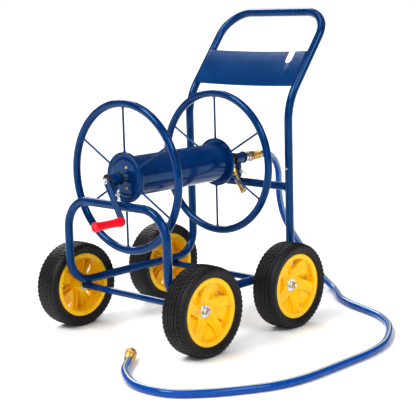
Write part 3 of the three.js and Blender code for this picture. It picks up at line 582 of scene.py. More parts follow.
class Bench:
    """Shapes pieces with Blender's own operators."""

    @staticmethod
    def clear() -> None:
        """Leaves edit mode and deselects everything."""
        if bpy.context.object and bpy.context.object.mode != "OBJECT":
            bpy.ops.object.mode_set(mode="OBJECT")
        bpy.ops.object.select_all(action="DESELECT")

    @staticmethod
    def pick(*pieces: bpy.types.Object) -> None:
        """Selects only these pieces and makes the first one active."""
        Bench.clear()
        for piece in pieces:
            piece.select_set(True)
        bpy.context.view_layer.objects.active = pieces[0]

    @staticmethod
    def edit(piece: bpy.types.Object, kind: str = "VERT") -> None:
        """Opens a piece in edit mode with nothing selected.

        Args:
            piece: The piece.
            kind: What can be selected: VERT, EDGE or FACE.
        """
        Bench.pick(piece)
        bpy.ops.object.mode_set(mode="EDIT")
        bpy.ops.mesh.select_mode(type=kind)
        bpy.ops.mesh.select_all(action="DESELECT")

    @staticmethod
    def choose(piece: bpy.types.Object, wanted: Callable[[Vector], bool], faces: bool = False) -> int:
        """Selects the vertices or faces of a piece in edit mode whose place is wanted.

        Args:
            piece: The piece, open in edit mode.
            wanted: Takes a vertex's place or a face's middle.
            faces: True to look at faces.

        Returns:
            How many were chosen.
        """
        mesh = bmesh.from_edit_mesh(piece.data)
        parts = mesh.faces if faces else mesh.verts
        count = 0
        for part in parts:
            chosen = wanted(part.calc_center_median() if faces else part.co)
            part.select = chosen
            count += chosen
        mesh.select_flush_mode()
        bmesh.update_edit_mesh(piece.data)
        return count

    @staticmethod
    def chain(points: Sequence[Vector]) -> bpy.types.Object:
        """Draws a line of edges by extruding one vertex from point to point, and stays in edit mode.

        Args:
            points: The places, in metres.

        Returns:
            The open line of edges.
        """
        Bench.clear()
        bpy.ops.mesh.primitive_plane_add(size=MM)
        line = bpy.context.object
        bpy.ops.object.mode_set(mode="EDIT")
        bpy.ops.mesh.select_mode(type="VERT")
        bpy.ops.mesh.select_all(action="SELECT")
        bpy.ops.mesh.merge(type="CENTER")
        bpy.ops.transform.translate(value=points[0])
        for start, end in zip(points, points[1:]):
            bpy.ops.mesh.extrude_vertices_move(TRANSFORM_OT_translate={"value": end - start})
        return line

    @staticmethod
    def close(piece: bpy.types.Object, smooth_degrees: float = 32) -> bpy.types.Object:
        """Merges doubles, turns the faces outwards and sets the shading of a closed piece.

        Args:
            piece: The piece, in edit mode.
            smooth_degrees: Edges flatter than this look smooth.

        Returns:
            The piece.
        """
        bpy.ops.mesh.select_all(action="SELECT")
        bpy.ops.mesh.remove_doubles(threshold=MERGE_WITHIN)
        bpy.ops.mesh.normals_make_consistent(inside=False)
        bpy.ops.object.mode_set(mode="OBJECT")
        return Bench.shade(piece, smooth_degrees)

    @staticmethod
    def shade(piece: bpy.types.Object, degrees: float = 32) -> bpy.types.Object:
        """Smooths the shading over edges flatter than this angle."""
        Bench.pick(piece)
        bpy.ops.object.shade_smooth_by_angle(angle=math.radians(degrees))
        return piece

    @staticmethod
    def put(
        piece: bpy.types.Object, at: Vector, way: Vector = Axis.UP.vector, roll: float = 0
    ) -> bpy.types.Object:
        """Moves a piece made along +Z to its place and applies that to its mesh.

        Args:
            piece: The piece.
            at: Where its origin goes.
            way: Where its +Z points.
            roll: Its turn about its own axis, in radians.

        Returns:
            The piece.
        """
        turn = Axis.UP.vector.rotation_difference(way).to_matrix().to_4x4()
        piece.matrix_world = Matrix.Translation(at) @ turn @ Matrix.Rotation(roll, 4, "Z")
        return Bench.freeze(piece)

    @staticmethod
    def freeze(piece: bpy.types.Object) -> bpy.types.Object:
        """Applies a piece's place, turn and size to its mesh."""
        Bench.pick(piece)
        bpy.ops.object.transform_apply(location=True, rotation=True, scale=True)
        return piece

    @staticmethod
    def turn(outline: Sequence[Pair], sides: int = 48, smooth_degrees: float = 32) -> bpy.types.Object:
        """Turns an outline of radius and height, in millimetres, about Z by spinning it round.

        Args:
            outline: It starts and ends on the axis, or ends where it starts.
            sides: Steps round the axis.
            smooth_degrees: Edges flatter than this are shaded smooth.

        Returns:
            The turned piece, along +Z.
        """
        piece = Bench.chain([Vector((r * MM, 0, h * MM)) for r, h in outline])
        bpy.ops.mesh.select_all(action="SELECT")
        bpy.ops.mesh.spin(steps=sides, angle=FULL_TURN, center=(0, 0, 0), axis=Axis.UP.value)
        return Bench.close(piece, smooth_degrees)

    @staticmethod
    def prism(outline: Sequence[Pair], low: float, high: float) -> bpy.types.Object:
        """Extrudes a flat outline, in millimetres, from one height to another along Z.

        Args:
            outline: Its corners.
            low: Height of its bottom.
            high: Height of its top.

        Returns:
            The prism.
        """
        points = [Vector((x * MM, y * MM, low * MM)) for x, y in outline]
        piece = Bench.chain([*points, points[0]])
        bpy.ops.mesh.select_all(action="SELECT")
        bpy.ops.mesh.remove_doubles(threshold=MERGE_WITHIN)
        bpy.ops.mesh.edge_face_add()
        bpy.ops.mesh.extrude_region_move(TRANSFORM_OT_translate={"value": (0, 0, (high - low) * MM)})
        return Bench.close(piece)

    @staticmethod
    def sweep(
        route: Sequence[Vector], radius_mm: float, sides: int = 28, eased_mm: float = 0.6
    ) -> bpy.types.Object:
        """Draws a round bar along a route, in metres, with its end edges eased off.

        Args:
            route: The places.
            radius_mm: The bar's radius.
            sides: Number of its sides.
            eased_mm: How far its ends are eased.

        Returns:
            The bar.
        """
        Bench.clear()
        line = bpy.data.curves.new("bar", "CURVE")
        line.dimensions = "3D"
        line.bevel_depth = radius_mm * MM
        line.bevel_resolution = sides // 4 - 2
        line.use_fill_caps = True
        first = route[0].lerp(route[1], eased_mm * MM / (route[1] - route[0]).length)
        last = route[-1].lerp(route[-2], eased_mm * MM / (route[-2] - route[-1]).length)
        places = [route[0], first, *route[1:-1], last, route[-1]]
        path = line.splines.new("POLY")
        path.points.add(len(places) - 1)
        for point, place in zip(path.points, places):
            point.co = (*place, 1)
        for end in (path.points[0], path.points[-1]):
            end.radius = 1 - eased_mm / radius_mm
        piece = bpy.data.objects.new("bar", line)
        bpy.context.scene.collection.objects.link(piece)
        Bench.pick(piece)
        bpy.ops.object.convert(target="MESH")
        piece = bpy.context.object
        Bench.edit(piece)
        return Bench.close(piece, 40)

    @staticmethod
    def apply(piece: bpy.types.Object, kind: str, **settings: object) -> bpy.types.Object:
        """Adds one modifier with its settings and applies it.

        Args:
            piece: The piece.
            kind: The modifier's type.
            settings: Its settings, by name.

        Returns:
            The piece.
        """
        Bench.pick(piece)
        step = piece.modifiers.new(kind.lower(), kind)
        for key, value in settings.items():
            setattr(step, key, value)
        bpy.ops.object.modifier_apply(modifier=step.name)
        return piece

    @staticmethod
    def combine(piece: bpy.types.Object, tool: bpy.types.Object, how: str) -> bpy.types.Object:
        """Cuts a tool out of a piece, or welds it on, and throws the tool away.

        Args:
            piece: The piece that stays.
            tool: The piece that is used up.
            how: DIFFERENCE or UNION.

        Returns:
            The piece.
        """
        Bench.apply(piece, "BOOLEAN", operation=how, object=tool, solver="EXACT")
        bpy.data.objects.remove(tool)
        return piece

    @staticmethod
    def soften(piece: bpy.types.Object, width_mm: float, degrees: float = 40) -> bpy.types.Object:
        """Rounds the sharp edges of a piece, as tumbling or moulding leaves them.

        Args:
            piece: The piece.
            width_mm: How wide the rounding is.
            degrees: Edges sharper than this are rounded.

        Returns:
            The piece.
        """
        limit = math.radians(degrees)
        Bench.apply(piece, "BEVEL", width=width_mm * MM, segments=2, limit_method="ANGLE", angle_limit=limit)
        return Bench.shade(piece, 35)

    @staticmethod
    def join(*pieces: bpy.types.Object) -> bpy.types.Object:
        """Makes one object of several that are welded or moulded together."""
        Bench.pick(*pieces)
        bpy.ops.object.join()
        return bpy.context.object

    @staticmethod
    def copy(piece: bpy.types.Object) -> bpy.types.Object:
        """Copies a piece with its own mesh."""
        Bench.pick(piece)
        bpy.ops.object.duplicate()
        return bpy.context.object

    @staticmethod
    def ring_of(piece: bpy.types.Object, count: int) -> bpy.types.Object:
        """Repeats a piece evenly round the Z axis and joins the copies.

        Args:
            piece: The piece, which is used up.
            count: How many there are.

        Returns:
            The joined ring.
        """
        copies = [piece]
        for i in range(1, count):
            twin = Bench.copy(piece)
            twin.matrix_world = Matrix.Rotation(FULL_TURN * i / count, 4, "Z")
            copies.append(Bench.freeze(twin))
        return Bench.join(*copies)


def bent_route(corners: Sequence[Vector], radii_mm: Sequence[float], steps: int = 22) -> list[Vector]:
    """The centreline of a bent tube: straight runs joined by arcs.

    Args:
        corners: The ends and the corners where the straight runs would meet, in metres.
        radii_mm: The bend radius at each inner corner.
        steps: Points on a quarter-circle bend.

    Returns:
        The route's points, in metres.
    """
    route = [corners[0]]
    for before, corner, after, radius in zip(corners, corners[1:], corners[2:], radii_mm):
        arriving, leaving = (corner - before).normalized(), (after - corner).normalized()
        angle = arriving.angle(leaving)
        start = corner - arriving * radius * MM * math.tan(angle / 2)
        inward = (leaving - arriving * arriving.dot(leaving)).normalized()
        count = max(3, round(steps * angle / QUARTER_TURN))
        for i in range(count + 1):
            turn = angle * i / count
            route.append(start + (inward * (1 - math.cos(turn)) + arriving * math.sin(turn)) * radius * MM)
    return [*route, corners[-1]]


def hexagon(across_flats: float) -> list[Pair]:
    """The outline of a hexagon, in millimetres."""
    reach = across_flats / math.sqrt(3)
    return [(reach * math.cos(math.pi / 3 * i), reach * math.sin(math.pi / 3 * i)) for i in range(6)]


def weld_bead(radius_mm: float, bead_mm: float, ripples: int = 12) -> bpy.types.Object:
    """A painted-over weld bead round a joint, slightly lumpy, about Z.

    Args:
        radius_mm: The joint's radius.
        bead_mm: The bead's own radius.
        ripples: How many lumps there are round it.

    Returns:
        The bead.
    """
    Bench.clear()
    bpy.ops.mesh.primitive_torus_add(
        major_segments=48, minor_segments=8, major_radius=radius_mm * MM, minor_radius=bead_mm * MM
    )
    bead = bpy.context.object
    Bench.edit(bead)
    Bench.choose(bead, lambda p: int((math.atan2(p.y, p.x) + math.pi) / FULL_TURN * 2 * ripples) % 2 == 0)
    bpy.ops.transform.resize(value=(1.012, 1.012, 1.15), center_override=(0, 0, 0))
    return Bench.close(bead, 60)


# ---------------------------------------------------------------- frame and handle


@dataclass
class BentFrame:
    """The lower tube, the handle tube, the cross tube and their two screws."""

    tube_radius: float = 12.7
    lower_bend: float = 76
    loop_bend: float = 90
    bend_height: float = 659
    handle_bend: float = 170
    lean: float = 38.4  # degrees back from upright
    handle_length: float = 337
    handle_corner: float = 90
    stub_seat: float = 10.2  # height of the front stub's foot over the loop's middle
    tube_sides: int = 32
    lower: Place = field(default_factory=lambda: Place.of("lower_frame_tube"))
    cross: Place = field(default_factory=lambda: Place.of("rear_cross_tube"))

    def __post_init__(self) -> None:
        """Reads the tube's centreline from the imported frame."""
        radius = self.tube_radius * MM
        self.half_width = self.lower.high.x - radius
        self.loop_y = self.lower.low.y + radius
        self.upright_y = self.lower.high.y - radius
        self.rail_z = self.lower.low.z + radius
        self.seam_z = self.lower.high.z
        self.loop_z = self.cross.middle.z

    def on_lean(self, across: float, up_mm: float, out_mm: float = 0) -> Vector:
        """A point on the leaning part of the handle.

        Args:
            across: Metres to the right.
            up_mm: Distance up the lean.
            out_mm: Distance out to the front, square to the lean.

        Returns:
            The point, in metres.
        """
        lean = math.radians(self.lean)
        back = up_mm * math.sin(lean) - out_mm * math.cos(lean)
        rise = up_mm * math.cos(lean) + out_mm * math.sin(lean)
        return Vector((across, self.upright_y + back * MM, (self.bend_height + rise) * MM))

    def build(self) -> None:
        """Builds and dresses all the tubes."""
        self.add_lower_tube()
        self.add_handle_tube()
        self.add_cross_tube()
        for side, x in (("left", -self.half_width), ("right", self.half_width)):
            self.add_screw(side, x)

    def add_lower_tube(self) -> None:
        """One tube makes both uprights, both bottom rails and the front loop."""
        x, z = self.half_width, self.rail_z
        left = [
            Vector((-x, self.upright_y, self.seam_z)),
            Vector((-x, self.upright_y, z)),
            Vector((-x, self.loop_y, z)),
            Vector((-x, self.loop_y, self.loop_z)),
        ]
        corners = [*left, *(Vector((-p.x, p.y, p.z)) for p in reversed(left))]
        radii = [self.lower_bend, self.lower_bend, self.loop_bend]
        route = bent_route(corners, [*radii, *reversed(radii)])
        tube = self.round_ends(Bench.sweep(route, self.tube_radius, self.tube_sides))
        bead = self.stub_bead(Vector((0, self.loop_y, self.loop_z + self.stub_seat * MM)))
        Dresser.seat(
            Bench.join(tube, bead), "bent_lower_tube", FRAME_PAINT, "frame_paint", "frame", ["lower_frame_tube"]
        )

    def round_ends(self, tube: bpy.types.Object) -> bpy.types.Object:
        """Rounds the cut edges at both ends of a tube, which draws the seam between the two."""
        return Bench.soften(tube, 1.3, 60)

    def stub_bead(self, at: Vector) -> bpy.types.Object:
        """The bead round the front bearing's stub, flatter than it is wide.

        Args:
            at: The bead's middle.

        Returns:
            The bead.
        """
        bead = Bench.put(weld_bead(self.tube_radius * 0.98, 1.2), at)
        Bench.edit(bead)
        bpy.ops.mesh.select_all(action="SELECT")
        bpy.ops.transform.resize(value=(0.7, 0.7, 1), center_override=at)
        return Bench.close(bead, 60)

    def add_handle_tube(self) -> None:
        """The handle plugs into the uprights, leans back and turns across at the top."""
        x = self.half_width
        left = [
            Vector((-x, self.upright_y, self.seam_z + CAD_GAP * MM)),
            self.on_lean(-x, 0),
            self.on_lean(-x, self.handle_length),
        ]
        corners = [*left, *(Vector((-p.x, p.y, p.z)) for p in reversed(left))]
        radii = [self.handle_bend, self.handle_corner, self.handle_corner, self.handle_bend]
        tube = self.round_ends(Bench.sweep(bent_route(corners, radii), self.tube_radius, self.tube_sides))
        Dresser.seat(tube, "bent_handle_tube", FRAME_PAINT, "frame_paint", "frame", ["upper_handle_tube"])

    def add_cross_tube(self) -> None:
        """The cross tube, saddle-cut to the uprights, with its weld beads."""
        reach = self.half_width
        start = Vector((-reach, self.upright_y, self.loop_z))
        tube = Bench.sweep([start, Vector((reach, start.y, start.z))], self.tube_radius, self.tube_sides)
        for side in (-reach, reach):
            cutter = Bench.turn([(0, -40), (12.9, -40), (12.9, 40), (0, 40)], 48)
            Bench.combine(tube, Bench.put(cutter, Vector((side, start.y, start.z))), "DIFFERENCE")
        Bench.shade(tube, 40)
        beads = [
            Bench.put(weld_bead(self.tube_radius + 0.4, 1.5), Vector((x, start.y, start.z)), Axis.RIGHT.vector)
            for x in (-reach + 12.2 * MM, reach - 12.2 * MM)
        ]
        Dresser.seat(
            Bench.join(tube, *beads), "welded_cross_tube", FRAME_PAINT, "frame_paint", "frame", ["rear_cross_tube"]
        )

    def add_screw(self, side: str, x: float) -> None:
        """A pan-head screw with a cross recess holds the handle in its upright.

        Args:
            side: Left or right.
            x: Its place across, in metres.
        """
        at = Place.of(f"{side}_handle_screw")
        head = [(0, -8), (1.9, -8), (2.1, 0.1), (4.5, 0.1), (4.5, 1), (3.9, 2.2), (2.6, 2.9), (0, 3.1)]
        screw = Bench.turn(head, 28)
        for angle in (0, QUARTER_TURN):
            blade = Bench.prism([(-2.4, -0.45), (2.4, -0.45), (2.4, 0.45), (-2.4, 0.45)], 1.6, 5)
            blade.matrix_world = Matrix.Rotation(angle + 0.4, 4, "Z")
            Bench.combine(screw, Bench.freeze(blade), "DIFFERENCE")
        face = Vector((x, at.low.y + 3 * MM, at.middle.z))
        screw = Bench.put(screw, face, Axis.FRONT.vector)
        Dresser.seat(screw, f"{side}_pan_screw", ZINC_PLATE, "zinc_steel", "frame", [f"{side}_handle_screw"])


@dataclass
class HandlePanel:
    """The bowed sheet across the handle, with turned-back edges and a hook slot."""

    tube: BentFrame
    thickness: float = 1.6
    height: float = 128
    from_bend: float = 52
    inset: float = 5
    bow: float = 7
    lip: float = 3.5
    lip_rise: float = 0.8
    weld_heights: Pair = (16, 104)
    weld_step: float = 6
    slot_width: float = 24
    slot_depth: float = 43
    slot_from_tube: float = 64
    strips: int = 48

    def build(self) -> None:
        """Builds the sheet lying in its own axes, then leans it into place."""
        half = self.tube.half_width / MM - self.inset
        stand_off = self.tube.tube_radius + CAD_GAP + self.thickness
        edge = []
        for i in range(self.strips + 1):
            across = half * (2 * i / self.strips - 1)
            edge.append(Vector((across, self.bow * (1 - (across / half) ** 2) - stand_off, 0)) * MM)
        sheet = Bench.chain(edge)
        bpy.ops.mesh.select_all(action="SELECT")
        bpy.ops.transform.translate(value=(0, self.lip * MM, self.lip_rise * MM))
        for step in ((0, -self.lip, -self.lip_rise), (0, 0, self.height), (0, self.lip, -self.lip_rise)):
            bpy.ops.mesh.extrude_region_move(TRANSFORM_OT_translate={"value": Vector(step) * MM})
        bpy.ops.mesh.select_all(action="SELECT")
        bpy.ops.mesh.normals_make_consistent(inside=False)
        bpy.ops.object.mode_set(mode="OBJECT")
        self.face_front(sheet)
        Bench.apply(sheet, "SOLIDIFY", thickness=self.thickness * MM, offset=-1, use_even_offset=True)
        Bench.combine(sheet, self.slot_tool(), "DIFFERENCE")
        Bench.soften(sheet, 0.45, 30)
        self.lean_back(sheet)
        Dresser.seat(sheet, "bowed_handle_panel", PANEL_PAINT, "panel_paint", "frame", ["handle_panel"])
        self.add_welds()

    def face_front(self, sheet: bpy.types.Object) -> None:
        """Turns the open sheet's faces over if they look back."""
        looks = sum(face.normal.y * face.area for face in sheet.data.polygons)
        if looks > 0:
            Bench.edit(sheet)
            bpy.ops.mesh.select_all(action="SELECT")
            bpy.ops.mesh.flip_normals()
            bpy.ops.object.mode_set(mode="OBJECT")

    def slot_tool(self) -> bpy.types.Object:
        """The slot's own shape: open at the top, with a round bottom."""
        radius = self.slot_width / 2
        outline = [(-radius, self.slot_depth + 6)]
        for i in range(17):
            angle = math.pi + math.pi * i / 16
            outline.append((radius * math.cos(angle), radius + radius * math.sin(angle)))
        outline.append((radius, self.slot_depth + 6))
        tool = Bench.prism(outline, -30, 30)
        place = Vector((
            self.tube.half_width - self.slot_from_tube * MM, 0, (self.height - self.slot_depth) * MM
        ))
        tool.matrix_world = Matrix.Translation(place) @ Matrix.Rotation(QUARTER_TURN, 4, "X")
        return Bench.freeze(tool)

    def lean_back(self, piece: bpy.types.Object) -> None:
        """Moves a piece from the sheet's own axes, across, back and up, to the handle's lean.

        Args:
            piece: The piece.
        """
        lean = math.radians(self.tube.lean)
        back = Vector((0, math.cos(lean), -math.sin(lean)))
        up = Vector((0, math.sin(lean), math.cos(lean)))
        axes = Matrix((Vector((1, 0, 0)), back, up)).transposed().to_4x4()
        piece.matrix_world = Matrix.Translation(self.tube.on_lean(0, self.from_bend)) @ axes
        Bench.freeze(piece)

    def add_welds(self) -> None:
        """Four short weld runs hold the sheet's ends to the tubes."""
        runs = []
        for side in (-1, 1):
            for up in self.weld_heights:
                x = side * (self.tube.half_width / MM - self.inset - 0.5)
                start = Vector((x, -self.tube.tube_radius - 0.6, up)) * MM
                step = Vector((0, 0, self.weld_step * MM))
                runs.append(Bench.sweep([start, start + step, start + step * 2], 1.4, 12))
        welds = Bench.join(*runs)
        self.lean_back(welds)
        Dresser.seat(welds, "panel_welds", PANEL_PAINT, "panel_paint", "frame")


# ---------------------------------------------------------------- reel bearings


@dataclass
class ReelBearing:
    """One clamped bearing: stub, sleeve on its post, two bushes, bolt and wing nut."""

    end: str
    wing_turn: float  # radians
    bush_radius: float = 19
    sleeve_reach: float = 16.25  # from the shaft's middle to the sleeve's top
    thread_pitch: float = 1.0

    def __post_init__(self) -> None:
        """Reads the bearing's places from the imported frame."""
        self.sleeve = Place.of(f"{self.end}_bearing_sleeve")
        self.bolt = Place.of(f"{self.end}_clamp_bolt")
        self.stub = Place.of(f"{self.end}_bearing_stub")
        self.shaft_z = self.sleeve.high.z - self.sleeve_reach * MM
        self.y = self.sleeve.middle.y

    def build(self) -> None:
        """Builds and dresses the bearing's pieces."""
        self.add_stub()
        self.add_sleeve()
        for way, name in ((Axis.FRONT, "fore"), (Axis.BACK, "aft")):
            self.add_bush(way, name)
        self.add_bolt()
        self.add_wing_nut()

    def add_stub(self) -> None:
        """The stub welded on the crosswise tube."""
        height = self.stub.size.z / MM
        stub = Bench.turn([(0, -6), (8.2, -6), (8.2, height - 0.6), (7.6, height), (0, height)], 36)
        stub = Bench.put(stub, Vector((0, self.y, self.stub.low.z)))
        name, node = f"{self.end}_post_stub", f"{self.end}_bearing_stub"
        Dresser.seat(stub, name, FRAME_PAINT, "frame_paint", "frame", [node])

    def add_sleeve(self) -> None:
        """The sleeve that holds the bushes, welded on the hollow post."""
        half = self.sleeve.size.y / MM / 2
        tube = [(13.4, -half), (15.5, -half), (16, -half + 0.6), (16, half - 0.6), (15.5, half), (13.4, half),
                (13.4, -half)]
        sleeve = Bench.put(Bench.turn(tube, 56), Vector((0, self.y, self.shaft_z)), Axis.BACK.vector)
        height = (self.shaft_z - self.sleeve.low.z) / MM - 13.6
        post = [(8.6, 0), (10, 0), (10.5, 0.5), (10.5, height - 3.4), (11.3, height - 2.4), (12.4, height - 0.4),
                (12.4, height), (8.6, height), (8.6, 0)]
        post_piece = Bench.put(Bench.turn(post, 40), Vector((0, self.y, self.sleeve.low.z)))
        name, node = f"{self.end}_clamp_sleeve", f"{self.end}_bearing_sleeve"
        Dresser.seat(Bench.join(sleeve, post_piece), name, FRAME_PAINT, "frame_paint", "frame", [node])

    def add_bush(self, way: Axis, name: str) -> None:
        """A flanged nylon bush pressed into one end of the sleeve.

        Args:
            way: The way it looks out of the sleeve.
            name: Fore or aft.
        """
        start = self.sleeve.size.y / MM / 2 + CAD_GAP
        outer = self.bush_radius
        outline = [(10.4, start - 13), (13.1, start - 13), (13.1, start), (outer - 0.5, start), (outer, start + 0.5),
                   (outer, start + 2.7), (outer - 0.5, start + 3.6), (outer - 1.4, start + 4), (13.2, start + 4),
                   (12.6, start + 3.4), (11.4, start + 3.4), (10.4, start + 4), (10.4, start - 13)]
        bush = Bench.put(Bench.turn(outline, 48), Vector((0, self.y, self.shaft_z)), way.vector)
        piece_name, node = f"{self.end}_{name}_flange_bush", f"{self.end}_bearing_{name}_bush"
        Dresser.seat(bush, piece_name, BUSH_NYLON, "bush_plastic", "frame", [node])

    def add_bolt(self) -> None:
        """The clamp bolt, with a hexagon head and a cut thread."""
        length = self.bolt.size.x / MM
        thread = [(0, 3.9), (3, 3.9)]
        level = length - 13
        while level < length - 1.2:
            thread += [(3, level), (2.55, level + self.thread_pitch / 2)]
            level += self.thread_pitch
        shank = Bench.turn([*thread, (2.4, length), (0, length)], 24)
        head = Bench.soften(Bench.prism(hexagon(10.2), 0, 4), 0.5)
        start = Vector((self.bolt.low.x, self.y, self.bolt.middle.z))
        bolt = Bench.put(Bench.join(head, shank), start, Axis.RIGHT.vector)
        Dresser.seat(bolt, f"{self.end}_hex_bolt", ZINC_PLATE, "zinc_steel", "frame", [f"{self.end}_clamp_bolt"])

    def add_wing_nut(self) -> None:
        """The cold-forged wing nut: a conical hub and two ears."""
        hub = Bench.turn([(3.2, 0), (6.4, 0), (6.5, 0.8), (5.1, 8), (4.6, 8.4), (3.2, 8.4), (3.2, 0)], 32)
        ear = [(4.4, 1.2), (8, 2), (12.5, 5), (15.4, 8.4), (16, 11), (15, 13), (12.6, 13.5), (9.6, 12), (6.6, 9),
               (4.2, 7.4)]
        ears = []
        for turn in (0, math.pi):
            plate = Bench.prism(ear, -1.35, 1.35)
            plate.matrix_world = Matrix.Rotation(turn, 4, "Z") @ Matrix.Rotation(QUARTER_TURN, 4, "X")
            ears.append(Bench.soften(Bench.freeze(plate), 0.7))
        nut = Bench.join(hub, *ears)
        start = Vector((Place.of(f"{self.end}_wing_nut").low.x, self.y, self.bolt.middle.z))
        nut = Bench.put(nut, start, Axis.RIGHT.vector, self.wing_turn)
        Dresser.seat(nut, f"{self.end}_wing_clamp_nut", ZINC_PLATE, "zinc_steel", "frame", [f"{self.end}_wing_nut"])


# ---------------------------------------------------------------- reel


@dataclass
class HoseReel:
    """Shaft, drum, two flanges of plate, spokes and ring, and two rivets."""

    drum_radius: float = 57.5
    plate_radius: float = 73
    plate_depth: float = 9
    ring_radius: float = 210.5
    ring_tube: float = 11.5
    spoke_radius: float = 3.2
    spokes: int = 6

    def build(self) -> None:
        """Builds and dresses the reel."""
        self.axis_z = Place.of("reel_drum").middle.z
        self.add_shaft()
        self.add_drum()
        for end, way in (("front", Axis.FRONT), ("rear", Axis.BACK)):
            self.add_flange(end, way)
        for name in ("upper", "lower"):
            self.add_rivet(name)

    def add_shaft(self) -> None:
        """The hollow shaft."""
        at = Place.of("reel_shaft")
        length = at.size.y / MM
        outline = [(0, 22), (4.3, 22), (4.3, 0), (9.2, 0), (9.85, 0.8), (9.85, length - 0.8), (9.2, length),
                   (5.5, length), (5.5, length - 90), (0, length - 90)]
        shaft = Bench.put(Bench.turn(outline, 40), Vector((0, at.low.y, self.axis_z)), Axis.BACK.vector)
        Dresser.seat(shaft, "hollow_reel_shaft", ZINC_PLATE, "zinc_steel", "reel", ["reel_shaft"])

    def add_drum(self) -> None:
        """The rolled drum."""
        at = Place.of("reel_drum")
        half, outer = at.size.y / MM / 2, self.drum_radius
        outline = [(outer - 1.5, -half), (outer - 0.3, -half), (outer, -half + 0.4), (outer, half - 0.4),
                   (outer - 0.3, half), (outer - 1.5, half), (outer - 1.5, -half)]
        drum = Bench.put(Bench.turn(outline, 96), Vector((0, at.middle.y, self.axis_z)), Axis.BACK.vector)
        Dresser.seat(drum, "rolled_drum", REEL_PAINT, "reel_paint", "reel", ["reel_drum"])

    def add_flange(self, end: str, way: Axis) -> None:
        """A pressed plate with its welded spokes, and the ring round them.

        Args:
            end: Front or rear.
            way: The way its outer face looks.
        """
        at = Place.of(f"{end}_flange_plate").middle
        middle = Vector((0, at.y, self.axis_z))
        disc = Bench.turn(self.plate_outline(), 96, 38)
        spoke_set = Bench.ring_of(self.spoke(), self.spokes)
        plate = Bench.join(disc, spoke_set)
        plate.matrix_world = self.facing(middle, way)
        node = f"{end}_flange_plate"
        Dresser.seat(Bench.freeze(plate), f"{end}_spoked_plate", REEL_PAINT, "reel_paint", "reel", [node])
        circle = [(self.ring_radius + self.ring_tube * math.cos(a), self.ring_tube * math.sin(a))
                  for a in (FULL_TURN * i / 24 for i in range(24))]
        ring = Bench.turn([*circle, circle[0]], 160, 60)
        beads = Bench.ring_of(self.spoke_weld(), self.spokes)
        hoop = Bench.join(ring, beads)
        hoop.matrix_world = self.facing(middle, way)
        node = f"{end}_flange_ring"
        Dresser.seat(Bench.freeze(hoop), f"{end}_rolled_ring", REEL_PAINT, "reel_paint", "reel", [node])

    def facing(self, middle: Vector, way: Axis) -> Matrix:
        """The place of a piece made about Z with a spoke along +X: the spoke points up, Z points outwards."""
        out, up = way.vector, Axis.UP.vector
        return Matrix.Translation(middle) @ Matrix((up, out.cross(up), out)).transposed().to_4x4()

    def plate_outline(self) -> list[Pair]:
        """The pressed plate's section, from its bore out and back again; +height is the outer face."""
        outer, drum, deep = self.plate_radius, self.drum_radius, self.plate_depth / 2
        front = [(10.4, deep), (26, deep), (30, deep - 0.5), (drum - 8, deep - 0.5), (drum - 4.5, deep - 0.9),
                 (drum - 2, deep - 2), (drum, 1.7), (drum + 2.5, 1.5), (drum + 5, 1.5), (drum + 6, 2.1),
                 (drum + 7.4, 2.1), (drum + 8.4, 1.6), (outer - 5.5, 2), (outer - 3.6, 3.4), (outer - 2, deep),
                 (outer - 0.7, deep - 0.5), (outer, deep - 1.8)]
        back = [(outer, -deep + 1.8), (outer - 0.7, -deep + 0.5), (outer - 2, -deep), (outer - 3.4, -deep + 0.6),
                (outer - 5, -1.6), (drum + 1, -1.5), (drum - 3, 0), (drum - 6, 1.4), (10.4, 1.4)]
        return [*front, *back, front[0]]

    def spoke(self) -> bpy.types.Object:
        """One spoke rod along +X with a weld fillet at each end."""
        start, end = self.plate_radius - 4, self.ring_radius - self.ring_tube + 0.5
        thin = self.spoke_radius
        outline = [(0, start), (thin + 1.8, start), (thin + 1.6, start + 4.6), (thin + 0.5, start + 6.6),
                   (thin, start + 9), (thin, end - 4), (thin + 0.5, end - 2), (thin + 1.6, end), (0, end)]
        rod = Bench.turn(outline, 20, 50)
        rod.matrix_world = Matrix.Rotation(QUARTER_TURN, 4, "Y")
        return Bench.freeze(rod)

    def spoke_weld(self) -> bpy.types.Object:
        """The weld where a spoke meets the ring, along +X."""
        at = self.ring_radius - self.ring_tube + 0.4
        outline = [(0, at - 2), (4.4, at - 1.6), (5.4, at - 0.4), (6.2, at + 1.4), (4, at + 3), (0, at + 3)]
        bead = Bench.turn(outline, 20, 60)
        bead.matrix_world = Matrix.Rotation(QUARTER_TURN, 4, "Y")
        return Bench.freeze(bead)

    def add_rivet(self, name: str) -> None:
        """A domed brass rivet head on the front plate.

        Args:
            name: Upper or lower.
        """
        at = Place.of(f"{name}_plate_rivet")
        head = Bench.turn([(0, -1), (3.9, -1), (4.2, 0), (4.1, 0.6), (3.4, 1.5), (2.2, 2.1), (0, 2.4)], 28, 60)
        head = Bench.put(head, Vector((at.middle.x, at.high.y, at.middle.z)), Axis.FRONT.vector)
        Dresser.seat(head, f"{name}_domed_rivet", RIVET_BRASS, "brass", "reel", [f"{name}_plate_rivet"])


# ---------------------------------------------------------------- crank


